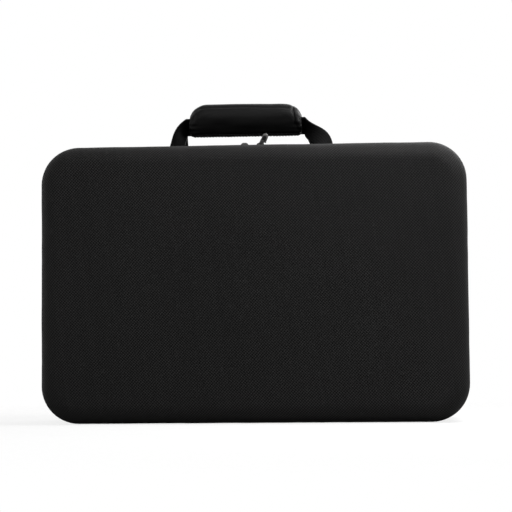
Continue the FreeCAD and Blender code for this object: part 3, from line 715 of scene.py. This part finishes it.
# Handle strap: one length of ribbed nylon webbing. Its flat feet are sewn to the base's top with boxed
# stitches, and it folds double along its middle as it rises, to run through the padded grip.
STRAP_WIDTH, STRAP_PLY, STRAP_RIBS, CREASE_SOFT, EDGE_NOTCH = 38.0, 2.2, 16, 0.012, 0.012
LEG_STEPS, FOOT_STEPS, INSIDE_STEPS, STEPS_ACROSS = 56, 32, 40, 32
RIB_RISE, RIB_DIP, EDGE_THIN = 0.11, 0.05, 0.45
STRAP_FRONT_Y, STRAP_MIDDLE_Y, STRAP_REAR_Y, FOOT_Z = -7.0, 12.0, 31.0, 294.25
FOLD_CREASE, FOLD_EDGES, FOLD_SPREAD = (13.1, 334.4), (26.9, 318.6), (0.92, 0.8)
LEFT_START, RIGHT_START, FOOT_REACH = -79.5, 53.0, 51.0
LEFT_LEG = ((21.0, (-8, 19), (16.8, -12.0)), (2.6, (-3, 4), (0.5, -2)), (1.0, (-3, 3), (1.5, -2)))
RIGHT_LEG = ((30.6, (0.0, 32), (10.6, -14.4)), (21.0, (-13, 8), (-1.0, -5)), (16.2, (-10, 4.3), (2.0, -3)))


def on_curve(points, t):
    """The point at t on the cubic curve with four control points."""
    s = 1 - t
    return sum(np.multiply(p, w) for p, w in zip(points, (s ** 3, 3 * s * s * t, 3 * s * t * t, t ** 3)))


def folded_lines(x):
    """Crease, front edge and rear edge of the strap where it is folded double."""
    (cy, cz), (ey, ez), (dy, dz) = FOLD_CREASE, FOLD_EDGES, FOLD_SPREAD
    return [np.array((x, cy, cz)), np.array((x, ey - dy, ez - dz)), np.array((x, ey + dy, ez + dz))]


def strap_leg(side, start_x, leg):
    """Lines across one leg of the strap, from the grip to its foot: crease, front edge, rear edge."""
    curves = []
    for folded, y, (lift, from_case, from_grip) in zip(
        folded_lines(start_x), (STRAP_MIDDLE_Y, STRAP_FRONT_Y, STRAP_REAR_Y), leg
    ):
        foot = np.array((start_x + side * lift, y, FOOT_Z))
        leaving = folded + np.array((side * from_grip[0], 0, from_grip[1]))
        landing = foot + np.array((side * from_case[0], 0, from_case[1]))
        curves.append((folded, leaving, landing, foot))
    lines = [[on_curve(curve, k / LEG_STEPS) for curve in curves] for k in range(LEG_STEPS + 1)]
    end_x, foot_line = start_x + side * FOOT_REACH, lines[-1]
    for k in range(1, FOOT_STEPS + 1):
        share = k / FOOT_STEPS
        lines.append([p + (np.array((end_x, p[1], FOOT_Z)) - p) * share for p in foot_line])
    return lines


def strap_mesh(name, lines, across):
    """Webbing through lines of crease, front edge and rear edge, with ribbed faces and notched edges."""
    grid, soft = [], math.sqrt(CREASE_SOFT)
    for number, (crease, front, rear) in enumerate(lines):
        row = []
        for k in range(across + 1):
            w = 2 * k / across - 1
            reach = w + (EDGE_NOTCH * w if number % 2 and abs(w) == 1 else 0)
            bent = (math.sqrt(w * w + CREASE_SOFT) - soft) / (math.sqrt(1 + CREASE_SOFT) - soft)
            row.append(crease + (front + rear - 2 * crease) / 2 * bent + (rear - front) / 2 * reach)
        grid.append(row)
    grid = np.array(grid)
    along, over = np.gradient(grid, axis=0), np.gradient(grid, axis=1)
    normal = np.cross(along, over)
    normal /= np.linalg.norm(normal, axis=2, keepdims=True)
    rib = np.array([RIB_RISE if k % 2 else -RIB_DIP for k in range(across + 1)])
    rib[[0, -1]] = -EDGE_THIN
    half = (STRAP_PLY / 2 + rib)[None, :, None]
    run = np.concatenate(([0], np.cumsum(np.linalg.norm(np.diff(grid[:, across // 2], axis=0), axis=1))))
    rows, columns = grid.shape[:2]
    points = np.concatenate([(grid + normal * half).reshape(-1, 3), (grid - normal * half).reshape(-1, 3)])
    layer, rim = rows * columns, grid_rim(rows, columns)
    faces = quads(rows, columns) + quads(rows, columns, layer)
    uvs = [(p % columns * STRAP_WIDTH / across, run[p % layer // columns]) for quad in faces for p in quad]
    for a, b in zip(rim, rim[1:] + rim[:1]):
        faces.append((a, b, b + layer, a + layer))
        for p, lift in ((a, 0), (b, 0), (b, STRAP_PLY), (a, STRAP_PLY)):
            uvs.append((lift + p % columns * STRAP_WIDTH / across, run[p // columns]))
    return mesh_piece(name, points, faces, uvs)


webbing = ribbed_finish(
    "ribbed_webbing", rib=STRAP_WIDTH / STRAP_RIBS, pick=1.5, zigzag=1.0, dark=(0.0003, 0.0003, 0.0004),
    light=(0.003, 0.003, 0.003), rise=0.35, constants={"Specular IOR Level": 0.04})
left_lines = strap_leg(-1, LEFT_START, LEFT_LEG)[::-1]
right_lines = strap_leg(1, RIGHT_START, RIGHT_LEG)
inside_lines = [folded_lines(LEFT_START + (RIGHT_START - LEFT_START) * k / INSIDE_STEPS)
                for k in range(1, INSIDE_STEPS)]
strap = strap_mesh("webbing_strap", left_lines + inside_lines + right_lines, STEPS_ACROSS)
strap.data.materials.append(webbing)
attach(strap, "base")
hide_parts("handle_strap")


def sewn_line(start, end, z, pitch):
    """Frames of stitches along a level straight line."""
    start, end = np.array((*start, z)), np.array((*end, z))
    run = end - start
    count = max(2, round(np.linalg.norm(run) / pitch))
    heading = run / np.linalg.norm(run)
    side = np.cross((0, 0, 1), heading)
    return [(start + run * (k + 0.5) / count, heading, side, (0, 0, 1)) for k in range(count)]


BOX_MARGIN, BOX_LENGTH, BOX_PITCH, BOX_Z = 4.0, 24.0, 3.4, FOOT_Z + STRAP_PLY / 2 + 0.12
box_frames = []
for side, start_x in ((-1, LEFT_START), (1, RIGHT_START)):
    far_x = start_x + side * (FOOT_REACH - BOX_MARGIN)
    near_x = far_x - side * BOX_LENGTH
    low_y, high_y = STRAP_FRONT_Y + BOX_MARGIN, STRAP_REAR_Y - BOX_MARGIN
    corners = [(near_x, low_y), (far_x, low_y), (far_x, high_y), (near_x, high_y)]
    for a, b in ((0, 1), (1, 2), (2, 3), (3, 0), (0, 2), (1, 3)):
        box_frames += sewn_line(corners[a], corners[b], BOX_Z, BOX_PITCH)
boxes = copies("strap_box_stitches", *stitch_shape(length=2.9, half=0.42), box_frames)
boxes.data.materials.append(thread)
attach(boxes, "base")


# Padded grip: a foam roll wrapped in soft black leathercloth. The cover is gathered round the strap at both
# ends and its long edges meet in a stitched seam underneath.
GRIP_LEFT, GRIP_RIGHT, GRIP_Y = -77.0, 50.5, 20.0
GRIP_UNDER, GRIP_TOP, GRIP_HALF_DEPTH, SEAM_HALF, GRIP_ROUND = 316.5, 352.5, 16.0, 5.5, 20.0
GRIP_SLACK, GRIP_MIDDLE_Z, GRIP_CLOSE_Z, GRIP_STEPS, GRIP_AROUND = 0.9, 330.0, 327.0, 48, 56
RIGHT_FOLDS, LEFT_FOLDS = ((-1.5, 8.5, 2.5, 1.2), (0.6, 4.5, 1.5, 2.0)), ((-0.4, 9.0, 2.0, 1.8),)


def grip_blank():
    """The grip before it is stuffed: a drop-shaped roll whose ends close round the strap."""
    points, length = [], GRIP_RIGHT - GRIP_LEFT
    stations = [(GRIP_LEFT + GRIP_SLACK, 0.3), (GRIP_LEFT + GRIP_SLACK, 0.7)]
    stations += [(GRIP_LEFT + GRIP_SLACK + (length - 2 * GRIP_SLACK) * k / GRIP_STEPS, 1.0)
                 for k in range(GRIP_STEPS + 1)]
    stations += [(GRIP_RIGHT - GRIP_SLACK, 0.7), (GRIP_RIGHT - GRIP_SLACK, 0.3)]
    radius = GRIP_HALF_DEPTH - GRIP_SLACK
    for x, close in stations:
        end = min(x - GRIP_LEFT, GRIP_RIGHT - x)
        drop = GRIP_ROUND - math.sqrt(max(0, GRIP_ROUND ** 2 - max(0, GRIP_ROUND - end) ** 2))
        top = GRIP_TOP - GRIP_SLACK - drop
        shoulder = top - radius
        for a in range(GRIP_AROUND):
            turn = 2 * math.pi * a / GRIP_AROUND
            y, z = radius * math.sin(turn), shoulder + radius * math.cos(turn)
            if z < shoulder:
                share = (shoulder - z) / radius
                z = shoulder - (shoulder - GRIP_UNDER - GRIP_SLACK) * share
                y = math.copysign(SEAM_HALF + (radius - SEAM_HALF) * max(0, 1 - share) ** 0.75, y) if y else 0
            y *= 1 - 0.012 * drop
            points.append((x, GRIP_Y + y * close, GRIP_CLOSE_Z + (z - GRIP_CLOSE_Z) * close))
    return mesh_piece("grip_blank", points, tube(len(stations), GRIP_AROUND))


def plumped(blank, voxel, pressure, cap, held):
    """Points and faces, in metres, of a cushion blown up by Cloth from a closed blank."""
    remesh = blank.modifiers.new("even", "REMESH")
    remesh.mode = "VOXEL"
    remesh.voxel_size = voxel * MM
    graph = bpy.context.evaluated_depsgraph_get()
    mesh = bpy.data.meshes.new_from_object(blank.evaluated_get(graph))
    bpy.data.objects.remove(blank)
    cushion = in_scene("cushion", mesh)
    rest = np.array([v.co for v in mesh.vertices])
    moved = rest.copy()
    group = cushion.vertex_groups.new(name="held")
    for number, co in enumerate(rest):
        weight = held(*(co / MM))
        if weight > 0:
            group.add([number], weight, "REPLACE")
    cloth = cushion.modifiers.new("stuffing", "CLOTH")
    cloth.settings.vertex_group_mass = "held"
    cloth.settings.use_pressure = True
    cloth.settings.uniform_pressure_force = pressure
    cloth.settings.effector_weights.gravity = 0
    cloth.settings.tension_stiffness = 20
    cloth.settings.compression_stiffness = 8
    cloth.settings.bending_stiffness = 0.4
    for number in range(1, 21):
        bpy.context.scene.frame_set(number)
    graph = bpy.context.evaluated_depsgraph_get()
    moved = np.array([v.co for v in cushion.evaluated_get(graph).data.vertices])
    bpy.context.scene.frame_set(1)
    push = moved - rest
    reach = np.maximum(np.linalg.norm(push, axis=1, keepdims=True), 1e-9)
    moved = rest + push * np.minimum(1, cap * MM / reach)
    faces = [tuple(p.vertices) for p in mesh.polygons]
    bpy.data.objects.remove(cushion)
    return moved, faces


def held_in_grip(x, y, z):
    """How firmly the cover is held: at its seam underneath and round the strap at the ends."""
    at_seam = max(0.0, 1 - max(0, z - GRIP_UNDER - 3) / 4)
    at_end = max(0.0, 1 - min(x - GRIP_LEFT, GRIP_RIGHT - x) / 5)
    return min(1.0, at_seam + at_end)


def fading(distance, width):
    """One at a place, fading to nothing with the distance from it."""
    return math.exp(-(distance / width) ** 2)


def gathered(x, y, z):
    """The cover's folds at a point, as a push outwards in millimetres."""
    turn = math.atan2(y - GRIP_Y, z - GRIP_MIDDLE_Z)
    from_left, from_right = x - GRIP_LEFT, GRIP_RIGHT - x
    from_end = min(from_left, from_right)
    pleats = 0.4 * math.sin(11 * turn + 0.8 * math.sin(3 * turn)) * fading(from_end, 9)
    fold = 0.0
    for reach, folds in ((from_right, RIGHT_FOLDS), (from_left, LEFT_FOLDS)):
        for height, from_edge, slant, width in folds:
            fold += height * fading(reach - from_edge - slant * math.cos(turn), width)
    fold *= 1 - 0.7 * fading(turn, 0.4)
    along = max(0, min(1, (from_end - 10) / 8))
    lengthwise = turn + 0.56 + 0.03 * math.sin(x / 17)
    fold += along * (0.5 * fading(lengthwise + 0.26, 1 / 6) - 1.8 * fading(lengthwise, 1 / 13))
    creases = 0.35 * noise.noise(Vector((x / 26, turn * 1.6, 4.2)))
    crown = 0.6 * max(0, 1 - ((x + 30) / 45) ** 2) - 0.5 * fading(from_right - 17, 6)
    hang = fading(from_left - 4, 6) + 0.8 * fading(from_right - 9, 9)
    hang *= max(0, -math.cos(turn)) ** 2
    return pleats + fold * max(0, min(1, (z - 320) / 6)) + creases + crown * max(0, math.cos(turn)) + hang


stuffed, faces = plumped(grip_blank(), voxel=2.6, pressure=3.0, cap=2.2, held=held_in_grip)
grip = mesh_piece("padded_grip", stuffed / MM, faces)
subdivide = grip.modifiers.new("fine", "SUBSURF")
subdivide.levels = subdivide.render_levels = 2
fine_mesh = bpy.data.meshes.new_from_object(grip.evaluated_get(bpy.context.evaluated_depsgraph_get()))
grip.modifiers.clear()
grip.data = fine_mesh
for vertex in grip.data.vertices:
    x, y, z = vertex.co / MM
    out = Vector((0, y - GRIP_Y, z - GRIP_MIDDLE_Z)).normalized()
    vertex.co += out * gathered(x, y, z) * MM
grip.data.shade_smooth()

leathercloth, tree, shader = new_finish("soft_leathercloth", {"Specular IOR Level": 0.12})
pebbles = wire(tree, "TexVoronoi", {
    "Vector": object_place(tree), "Scale": 950.0, "Randomness": 0.9}, feature="DISTANCE_TO_EDGE")
pebble_height = wire(tree, "MapRange", {0: pebbles.outputs[0], 1: 0.0, 2: 0.22}).outputs[0]
grained(tree, shader, pebble_height, size=30.0, dark=(0.0005, 0.0005, 0.0006), light=(0.0035, 0.0034, 0.0034),
        roughness=(0.22, 0.4), bump=(0.35, 0.18))
grip.data.materials.append(leathercloth)
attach(grip, "base")
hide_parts("handle_cover", "handle_pad")

ROLL_PITCH, ROLL_HALF, ROLL_STEPS, ROLL_APART, ROLL_END = 3.4, (2.5, 1.5), 340, 2.7, 3.0
roll_points, roll_faces = [], []
for roll_y in (GRIP_Y - ROLL_APART, GRIP_Y + ROLL_APART):
    rings = []
    for k in range(ROLL_STEPS + 1):
        x = GRIP_LEFT + ROLL_END + (GRIP_RIGHT - GRIP_LEFT - 2 * ROLL_END) * k / ROLL_STEPS
        swell = 1 + 0.14 * math.sin(2 * math.pi * x / ROLL_PITCH)
        swell += 0.12 * noise.noise(Vector((x / 7, roll_y, 0)))
        swell *= min(1, 0.3 + min(k, ROLL_STEPS - k) / 12)
        push = 0.5 * noise.noise(Vector((x / 13, roll_y, 9)))
        rings.append((x, (roll_y + push, GRIP_UNDER + 0.5), ROLL_HALF[0] * swell, ROLL_HALF[1] * swell))
    points, faces = lathed_bar(rings, sides=12)
    roll_faces += [tuple(v + len(roll_points) for v in face) for face in faces]
    roll_points += [(x, y, z) for y, x, z in points]
rolls = mesh_piece("grip_seam_rolls", roll_points, roll_faces)
rolls.data.materials.append(leathercloth)
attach(rolls, "base")

SEAM_STITCHES, SEAM_END = 32, 9.0
seam_frames = []
for side_y, lean in ((GRIP_Y - SEAM_HALF - 0.6, -1), (GRIP_Y + SEAM_HALF + 0.6, 1)):
    out = np.array((0, lean * 0.88, -0.48))
    for k in range(SEAM_STITCHES):
        x = GRIP_LEFT + SEAM_END + (GRIP_RIGHT - GRIP_LEFT - 2 * SEAM_END) * (k + 0.5) / SEAM_STITCHES
        seam_frames.append(((x, side_y, GRIP_UNDER + 2.6), (1, 0, 0), np.cross(out, (1, 0, 0)), out))
seam = copies("grip_seam_stitches", *stitch_shape(length=2.8, half=0.38), seam_frames)
seam.data.materials.append(thread)
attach(seam, "base")


# Backing plates: stiff polypropylene plates inside the base's top wall that spread the pull of the strap's
# stitches. They keep the CAD's shape.
plate_plastic = mottled_finish(
    "backing_plastic", {"Specular IOR Level": 0.4}, size=70.0, dark=(0.012, 0.012, 0.013),
    light=(0.03, 0.03, 0.032), roughness=(0.3, 0.4), bump=(0.3, 0.2))
for side in ("left", "right"):
    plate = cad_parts["handle_backing_" + side]
    plate.data.materials.clear()
    plate.data.materials.append(plate_plastic)


# Foam tray: a block of charcoal EVA foam, cut out for the console, with a finger scoop at each end and its
# cut edges softened by sanding.
tray = rounded_copy("foam_tray", "console_tray", edge=2.4, steps=4)
foam, tree, shader = new_finish("cut_foam", {
    "Specular IOR Level": 0.1, "Sheen Weight": 0.08, "Sheen Roughness": 0.7})
cells = wire(tree, "TexVoronoi", {"Vector": object_place(tree), "Scale": 900.0}, feature="F1").outputs[0]
grained(tree, shader, cells, size=14.0, dark=(0.012, 0.012, 0.013), light=(0.045, 0.045, 0.048),
        roughness=(0.15, 0.8), bump=(0.5, 0.4))
tray.data.materials.append(foam)
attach(tray, "base")
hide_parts("foam_tray")


# Net pocket: a panel of knitted polyester net with shallow sides, sewn to the lid's lining on three sides and
# bellied a little by what it holds.
POCKET_HALF, POCKET_BOTTOM, POCKET_TOP, POCKET_CORNER = 194.5, 24.5, 214.0, 18.0
POCKET_BACK_Y, POCKET_FACE_Y, NET_CELL, NET_STRAND = -89.2, -76.6, 6.0, 0.42
POCKET_BELLY, BELLY_MIDDLE, BELLY_REACH = 3.0, 110.0, 104.0


def pocket_grid():
    """Quads of the pocket's net laid out over its face and its sides, as points and faces."""
    core_x, core_low = POCKET_HALF - POCKET_CORNER, POCKET_BOTTOM + POCKET_CORNER
    columns = round(2 * core_x / NET_CELL)
    lines = round((POCKET_TOP - core_low) / NET_CELL)
    path = [(-core_x, POCKET_TOP - (POCKET_TOP - core_low) * k / lines, -1, 0) for k in range(lines)]
    path += [(-core_x, core_low, -math.cos(a), -math.sin(a)) for a in np.linspace(0, math.pi / 2, 6)]
    path += [(-core_x + 2 * core_x * k / columns, core_low, 0, -1) for k in range(1, columns)]
    path += [(core_x, core_low, math.cos(a), -math.sin(a)) for a in np.linspace(math.pi / 2, 0, 6)]
    path += [(core_x, core_low + (POCKET_TOP - core_low) * k / lines, 1, 0) for k in range(1, lines + 1)]
    rows = [(POCKET_CORNER, POCKET_BACK_Y), (POCKET_CORNER, POCKET_BACK_Y + 6.0),
            (POCKET_CORNER - 1.0, POCKET_FACE_Y - 1.2)]
    rows += [(reach, POCKET_FACE_Y) for reach in (12.0, 6.0, 0.0)]
    points = [(x + nx * reach, y, z + nz * reach) for reach, y in rows for x, z, nx, nz in path]
    faces = quads(len(rows), len(path)) + quads(lines + 1, columns + 1, len(points))
    for line in range(lines + 1):
        for column in range(columns + 1):
            points.append((-core_x + 2 * core_x * column / columns, POCKET_FACE_Y,
                           core_low + (POCKET_TOP - core_low) * line / lines))
    bellied = []
    for x, y, z in points:
        if y > POCKET_FACE_Y - 0.1:
            swell = max(0, 1 - (x / POCKET_HALF) ** 2) * max(0, 1 - ((z - BELLY_MIDDLE) / BELLY_REACH) ** 2)
            y += POCKET_BELLY * swell
        bellied.append((x, y, z))
    return bellied, faces


def net_strands(name, points, faces, half):
    """Strands between the middles of each quad's edges, which makes a diamond net."""
    points = np.array(points)
    made, strands = [], []
    for quad in faces:
        corners = points[list(quad)]
        middles = [(corners[k] + corners[(k + 1) % 4]) / 2 for k in range(4)]
        facing = np.cross(corners[2] - corners[0], corners[3] - corners[1])
        if np.linalg.norm(facing) < 1e-9:
            continue
        facing /= np.linalg.norm(facing)
        for k in range(4):
            a, b = middles[k], middles[(k + 1) % 4]
            if np.linalg.norm(b - a) < 0.5:
                continue
            heading = (b - a) / np.linalg.norm(b - a)
            side = np.cross(facing, heading) * half
            rise = facing * half * 0.8
            first = len(made)
            for end in (a - heading * half * 0.6, b + heading * half * 0.6):
                made += [end + side, end + rise, end - side, end - rise]
            strands += tube(2, 4, first)
    return mesh_piece(name, made, strands)


net = net_strands("pocket_net", *pocket_grid(), NET_STRAND)
net_yarn = mottled_finish(
    "net_yarn", {"Specular IOR Level": 0.15, "Sheen Weight": 0.06}, size=120.0, dark=(0.003, 0.003, 0.0035),
    light=(0.014, 0.014, 0.015), roughness=(0.2, 0.5), bump=(0.4, 0.2))
net.data.materials.append(net_yarn)
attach(net, "lid")
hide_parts("net_pocket")


# Pocket edge: elastic ribbon folded over the net's open top and sewn through, a little rippled because it was
# stretched when it was sewn.
EDGE_HALF, EDGE_LOW, EDGE_TOP = 193.9, 196.2, 215.0
EDGE_PLY, EDGE_RIPPLE, EDGE_RIPPLE_PITCH = 1.5, 0.45, 9.0


def pocket_edge(name):
    """The folded elastic, as a flat tube along X that follows the net's belly."""
    side = [(EDGE_PLY, EDGE_LOW), (EDGE_PLY, EDGE_LOW + 6), (EDGE_PLY, EDGE_LOW + 12),
            (EDGE_PLY, EDGE_TOP - 1.4), (EDGE_PLY * 0.6, EDGE_TOP - 0.3)]
    section = [(-y, z) for y, z in side] + [(0, EDGE_TOP)] + side[::-1] + [(0, EDGE_LOW - 0.2)]
    steps, size = 388, len(section)
    points, faces, uvs = [], [], []
    for k in range(steps + 1):
        x = EDGE_HALF * (2 * k / steps - 1)
        ripple = EDGE_RIPPLE * math.sin(2 * math.pi * x / EDGE_RIPPLE_PITCH + 1.3 * math.sin(x / 31))
        for y, z in section:
            share = (z - EDGE_LOW) / (EDGE_TOP - EDGE_LOW)
            points.append((x, POCKET_FACE_Y + y + ripple * (0.35 + 0.65 * abs(2 * share - 1)), z))
    for k in range(steps):
        for n in range(size):
            m = (n + 1) % size
            faces.append((k * size + n, (k + 1) * size + n, (k + 1) * size + m, k * size + m))
            uvs += [(n * 4.0, k), (n * 4.0, k + 1), ((n + 1) * 4.0, k + 1), ((n + 1) * 4.0, k)]
    faces += [tuple(range(size)), tuple(range(steps * size, (steps + 1) * size))]
    uvs += [(0, 0)] * (2 * size)
    return mesh_piece(name, points, faces, uvs)


elastic = pocket_edge("pocket_elastic")
elastic.data.materials.append(ribbed_finish(
    "ribbed_elastic", rib=1.3, pick=1.1, zigzag=0.0, dark=(0.003, 0.003, 0.0035), light=(0.016, 0.016, 0.017),
    rise=0.3, constants={"Specular IOR Level": 0.15, "Sheen Weight": 0.06}))
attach(elastic, "lid")
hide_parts("pocket_binding")


# Stage: a white floor, soft lamps from above and the right, and the camera low in front of the case. The
# camera sees through most of the floor near the case, because the opened lid hangs below it.
CAMERA_PLACE, CAMERA_FOCUS_PX, PICTURE_PX = (0.11397, -1.78790, 0.06400), 1631.98, 512
CAMERA_YAW, CAMERA_PITCH, CAMERA_ROLL = (math.radians(a) for a in (3.7066, 3.7063, -0.4844))
ahead = Vector((-math.sin(CAMERA_YAW) * math.cos(CAMERA_PITCH), math.cos(CAMERA_YAW) * math.cos(CAMERA_PITCH),
                math.sin(CAMERA_PITCH)))
level_right = Vector((math.cos(CAMERA_YAW), math.sin(CAMERA_YAW), 0))
level_up = level_right.cross(ahead)
right = level_right * math.cos(CAMERA_ROLL) + level_up * math.sin(CAMERA_ROLL)
up = level_up * math.cos(CAMERA_ROLL) - level_right * math.sin(CAMERA_ROLL)
camera_data = bpy.data.cameras.new("front_camera")
camera_data.sensor_width = 36.0
camera_data.lens = CAMERA_FOCUS_PX * camera_data.sensor_width / PICTURE_PX
camera = in_scene("front_camera", camera_data)
camera.matrix_world = Matrix.Translation(CAMERA_PLACE) @ Matrix((right, up, -ahead)).transposed().to_4x4()
bpy.context.scene.camera = camera



def seen_by(tree, rays):
    """One where the camera looks, straight or by a mirror or glass."""
    indirect = calc(tree, "MAXIMUM", rays["Is Glossy Ray"], rays["Is Transmission Ray"])
    return calc(tree, "MAXIMUM", rays["Is Camera Ray"], indirect)


FLOOR_HALF, FLOOR_Z, FLOOR_CLEAR, OVERHEAD_LIGHT = 6.0 / MM, -0.6, 0.82, 0.35
floor_corners = [(x * FLOOR_HALF, y * FLOOR_HALF, FLOOR_Z) for x, y in ((-1, -1), (1, -1), (1, 1), (-1, 1))]
floor = mesh_piece("floor", floor_corners, [(0, 1, 2, 3)])
floor_paint, tree, shader = new_finish("floor_paint", {"Roughness": 0.9, "Specular IOR Level": 0.0})
rays = wire(tree, "LightPath").outputs
tree.links.new(colour_between(tree, rays["Is Camera Ray"], (0.4, 0.4, 0.4, 1), (0.9, 0.9, 0.9, 1)),
               shader.inputs["Base Color"])
white = wire(tree, "Emission", {"Color": (1, 1, 1, 1), "Strength": 1.0})
clear = wire(tree, "BsdfTransparent")
glow = wire(tree, "MixShader", {0: rays["Is Camera Ray"], 1: white.outputs[0], 2: clear.outputs[0]})
seen = seen_by(tree, rays)
from_middle = wire(tree, "VectorMath", {0: object_place(tree)}, operation="LENGTH").outputs["Value"]
far_off = wire(tree, "MapRange", {0: from_middle, 1: 0.35, 2: 0.85}).outputs[0]
near_glow = calc(tree, "MULTIPLY", rays["Is Camera Ray"], FLOOR_CLEAR)
share = wire(tree, "Mix", {0: far_off, 2: near_glow, 3: seen}).outputs[0]
painted = wire(tree, "MixShader", {0: share, 1: shader.outputs[0], 2: glow.outputs[0]})
tree.links.new(painted.outputs[0], tree.nodes["Material Output"].inputs["Surface"])
floor.data.materials.append(floor_paint)
floor.visible_shadow = False

for name, spot, aim, size, power in (
    ("key_lamp", (0.36, -0.18, 0.68), (0.12, -0.05, 0.25), 0.35, 5.4),
    ("fill_lamp", (-0.6, -2.2, 1.2), (0.0, 0.0, 0.15), 1.4, 24.0),
    ("rear_lamp", (0.9, 1.7, 1.4), (0.0, 0.0, 0.2), 1.4, 24.0),
):
    lamp_data = bpy.data.lights.new(name, "AREA")
    lamp_data.size, lamp_data.energy = size, power
    lamp = in_scene(name, lamp_data)
    lamp.location = spot
    lamp.rotation_euler = (Vector(aim) - Vector(spot)).to_track_quat("-Z", "Y").to_euler()

world = bpy.data.worlds.new("studio")
world.use_nodes = True
bpy.context.scene.world = world
tree = world.node_tree
rays = wire(tree, "LightPath").outputs
seen = seen_by(tree, rays)
heading = wire(tree, "SeparateXYZ", {0: wire(tree, "TexCoord").outputs["Generated"]}).outputs
behind = wire(tree, "MapRange", {0: heading["Y"], 1: -0.5, 2: 0.2, 3: 0.12, 4: 1.0}).outputs[0]
overhead = calc(tree, "MULTIPLY", calc(tree, "GREATER_THAN", heading["Z"], 0.0), OVERHEAD_LIGHT)
mirrored = calc(tree, "MAXIMUM", behind, rays["Is Camera Ray"])
strength = wire(tree, "Mix", {0: seen, 2: overhead, 3: mirrored}).outputs[0]
tree.nodes["Background"].inputs["Color"].default_value = (1, 1, 1, 1)
tree.links.new(strength, tree.nodes["Background"].inputs["Strength"])
bpy.context.scene.view_settings.view_transform = "Standard"
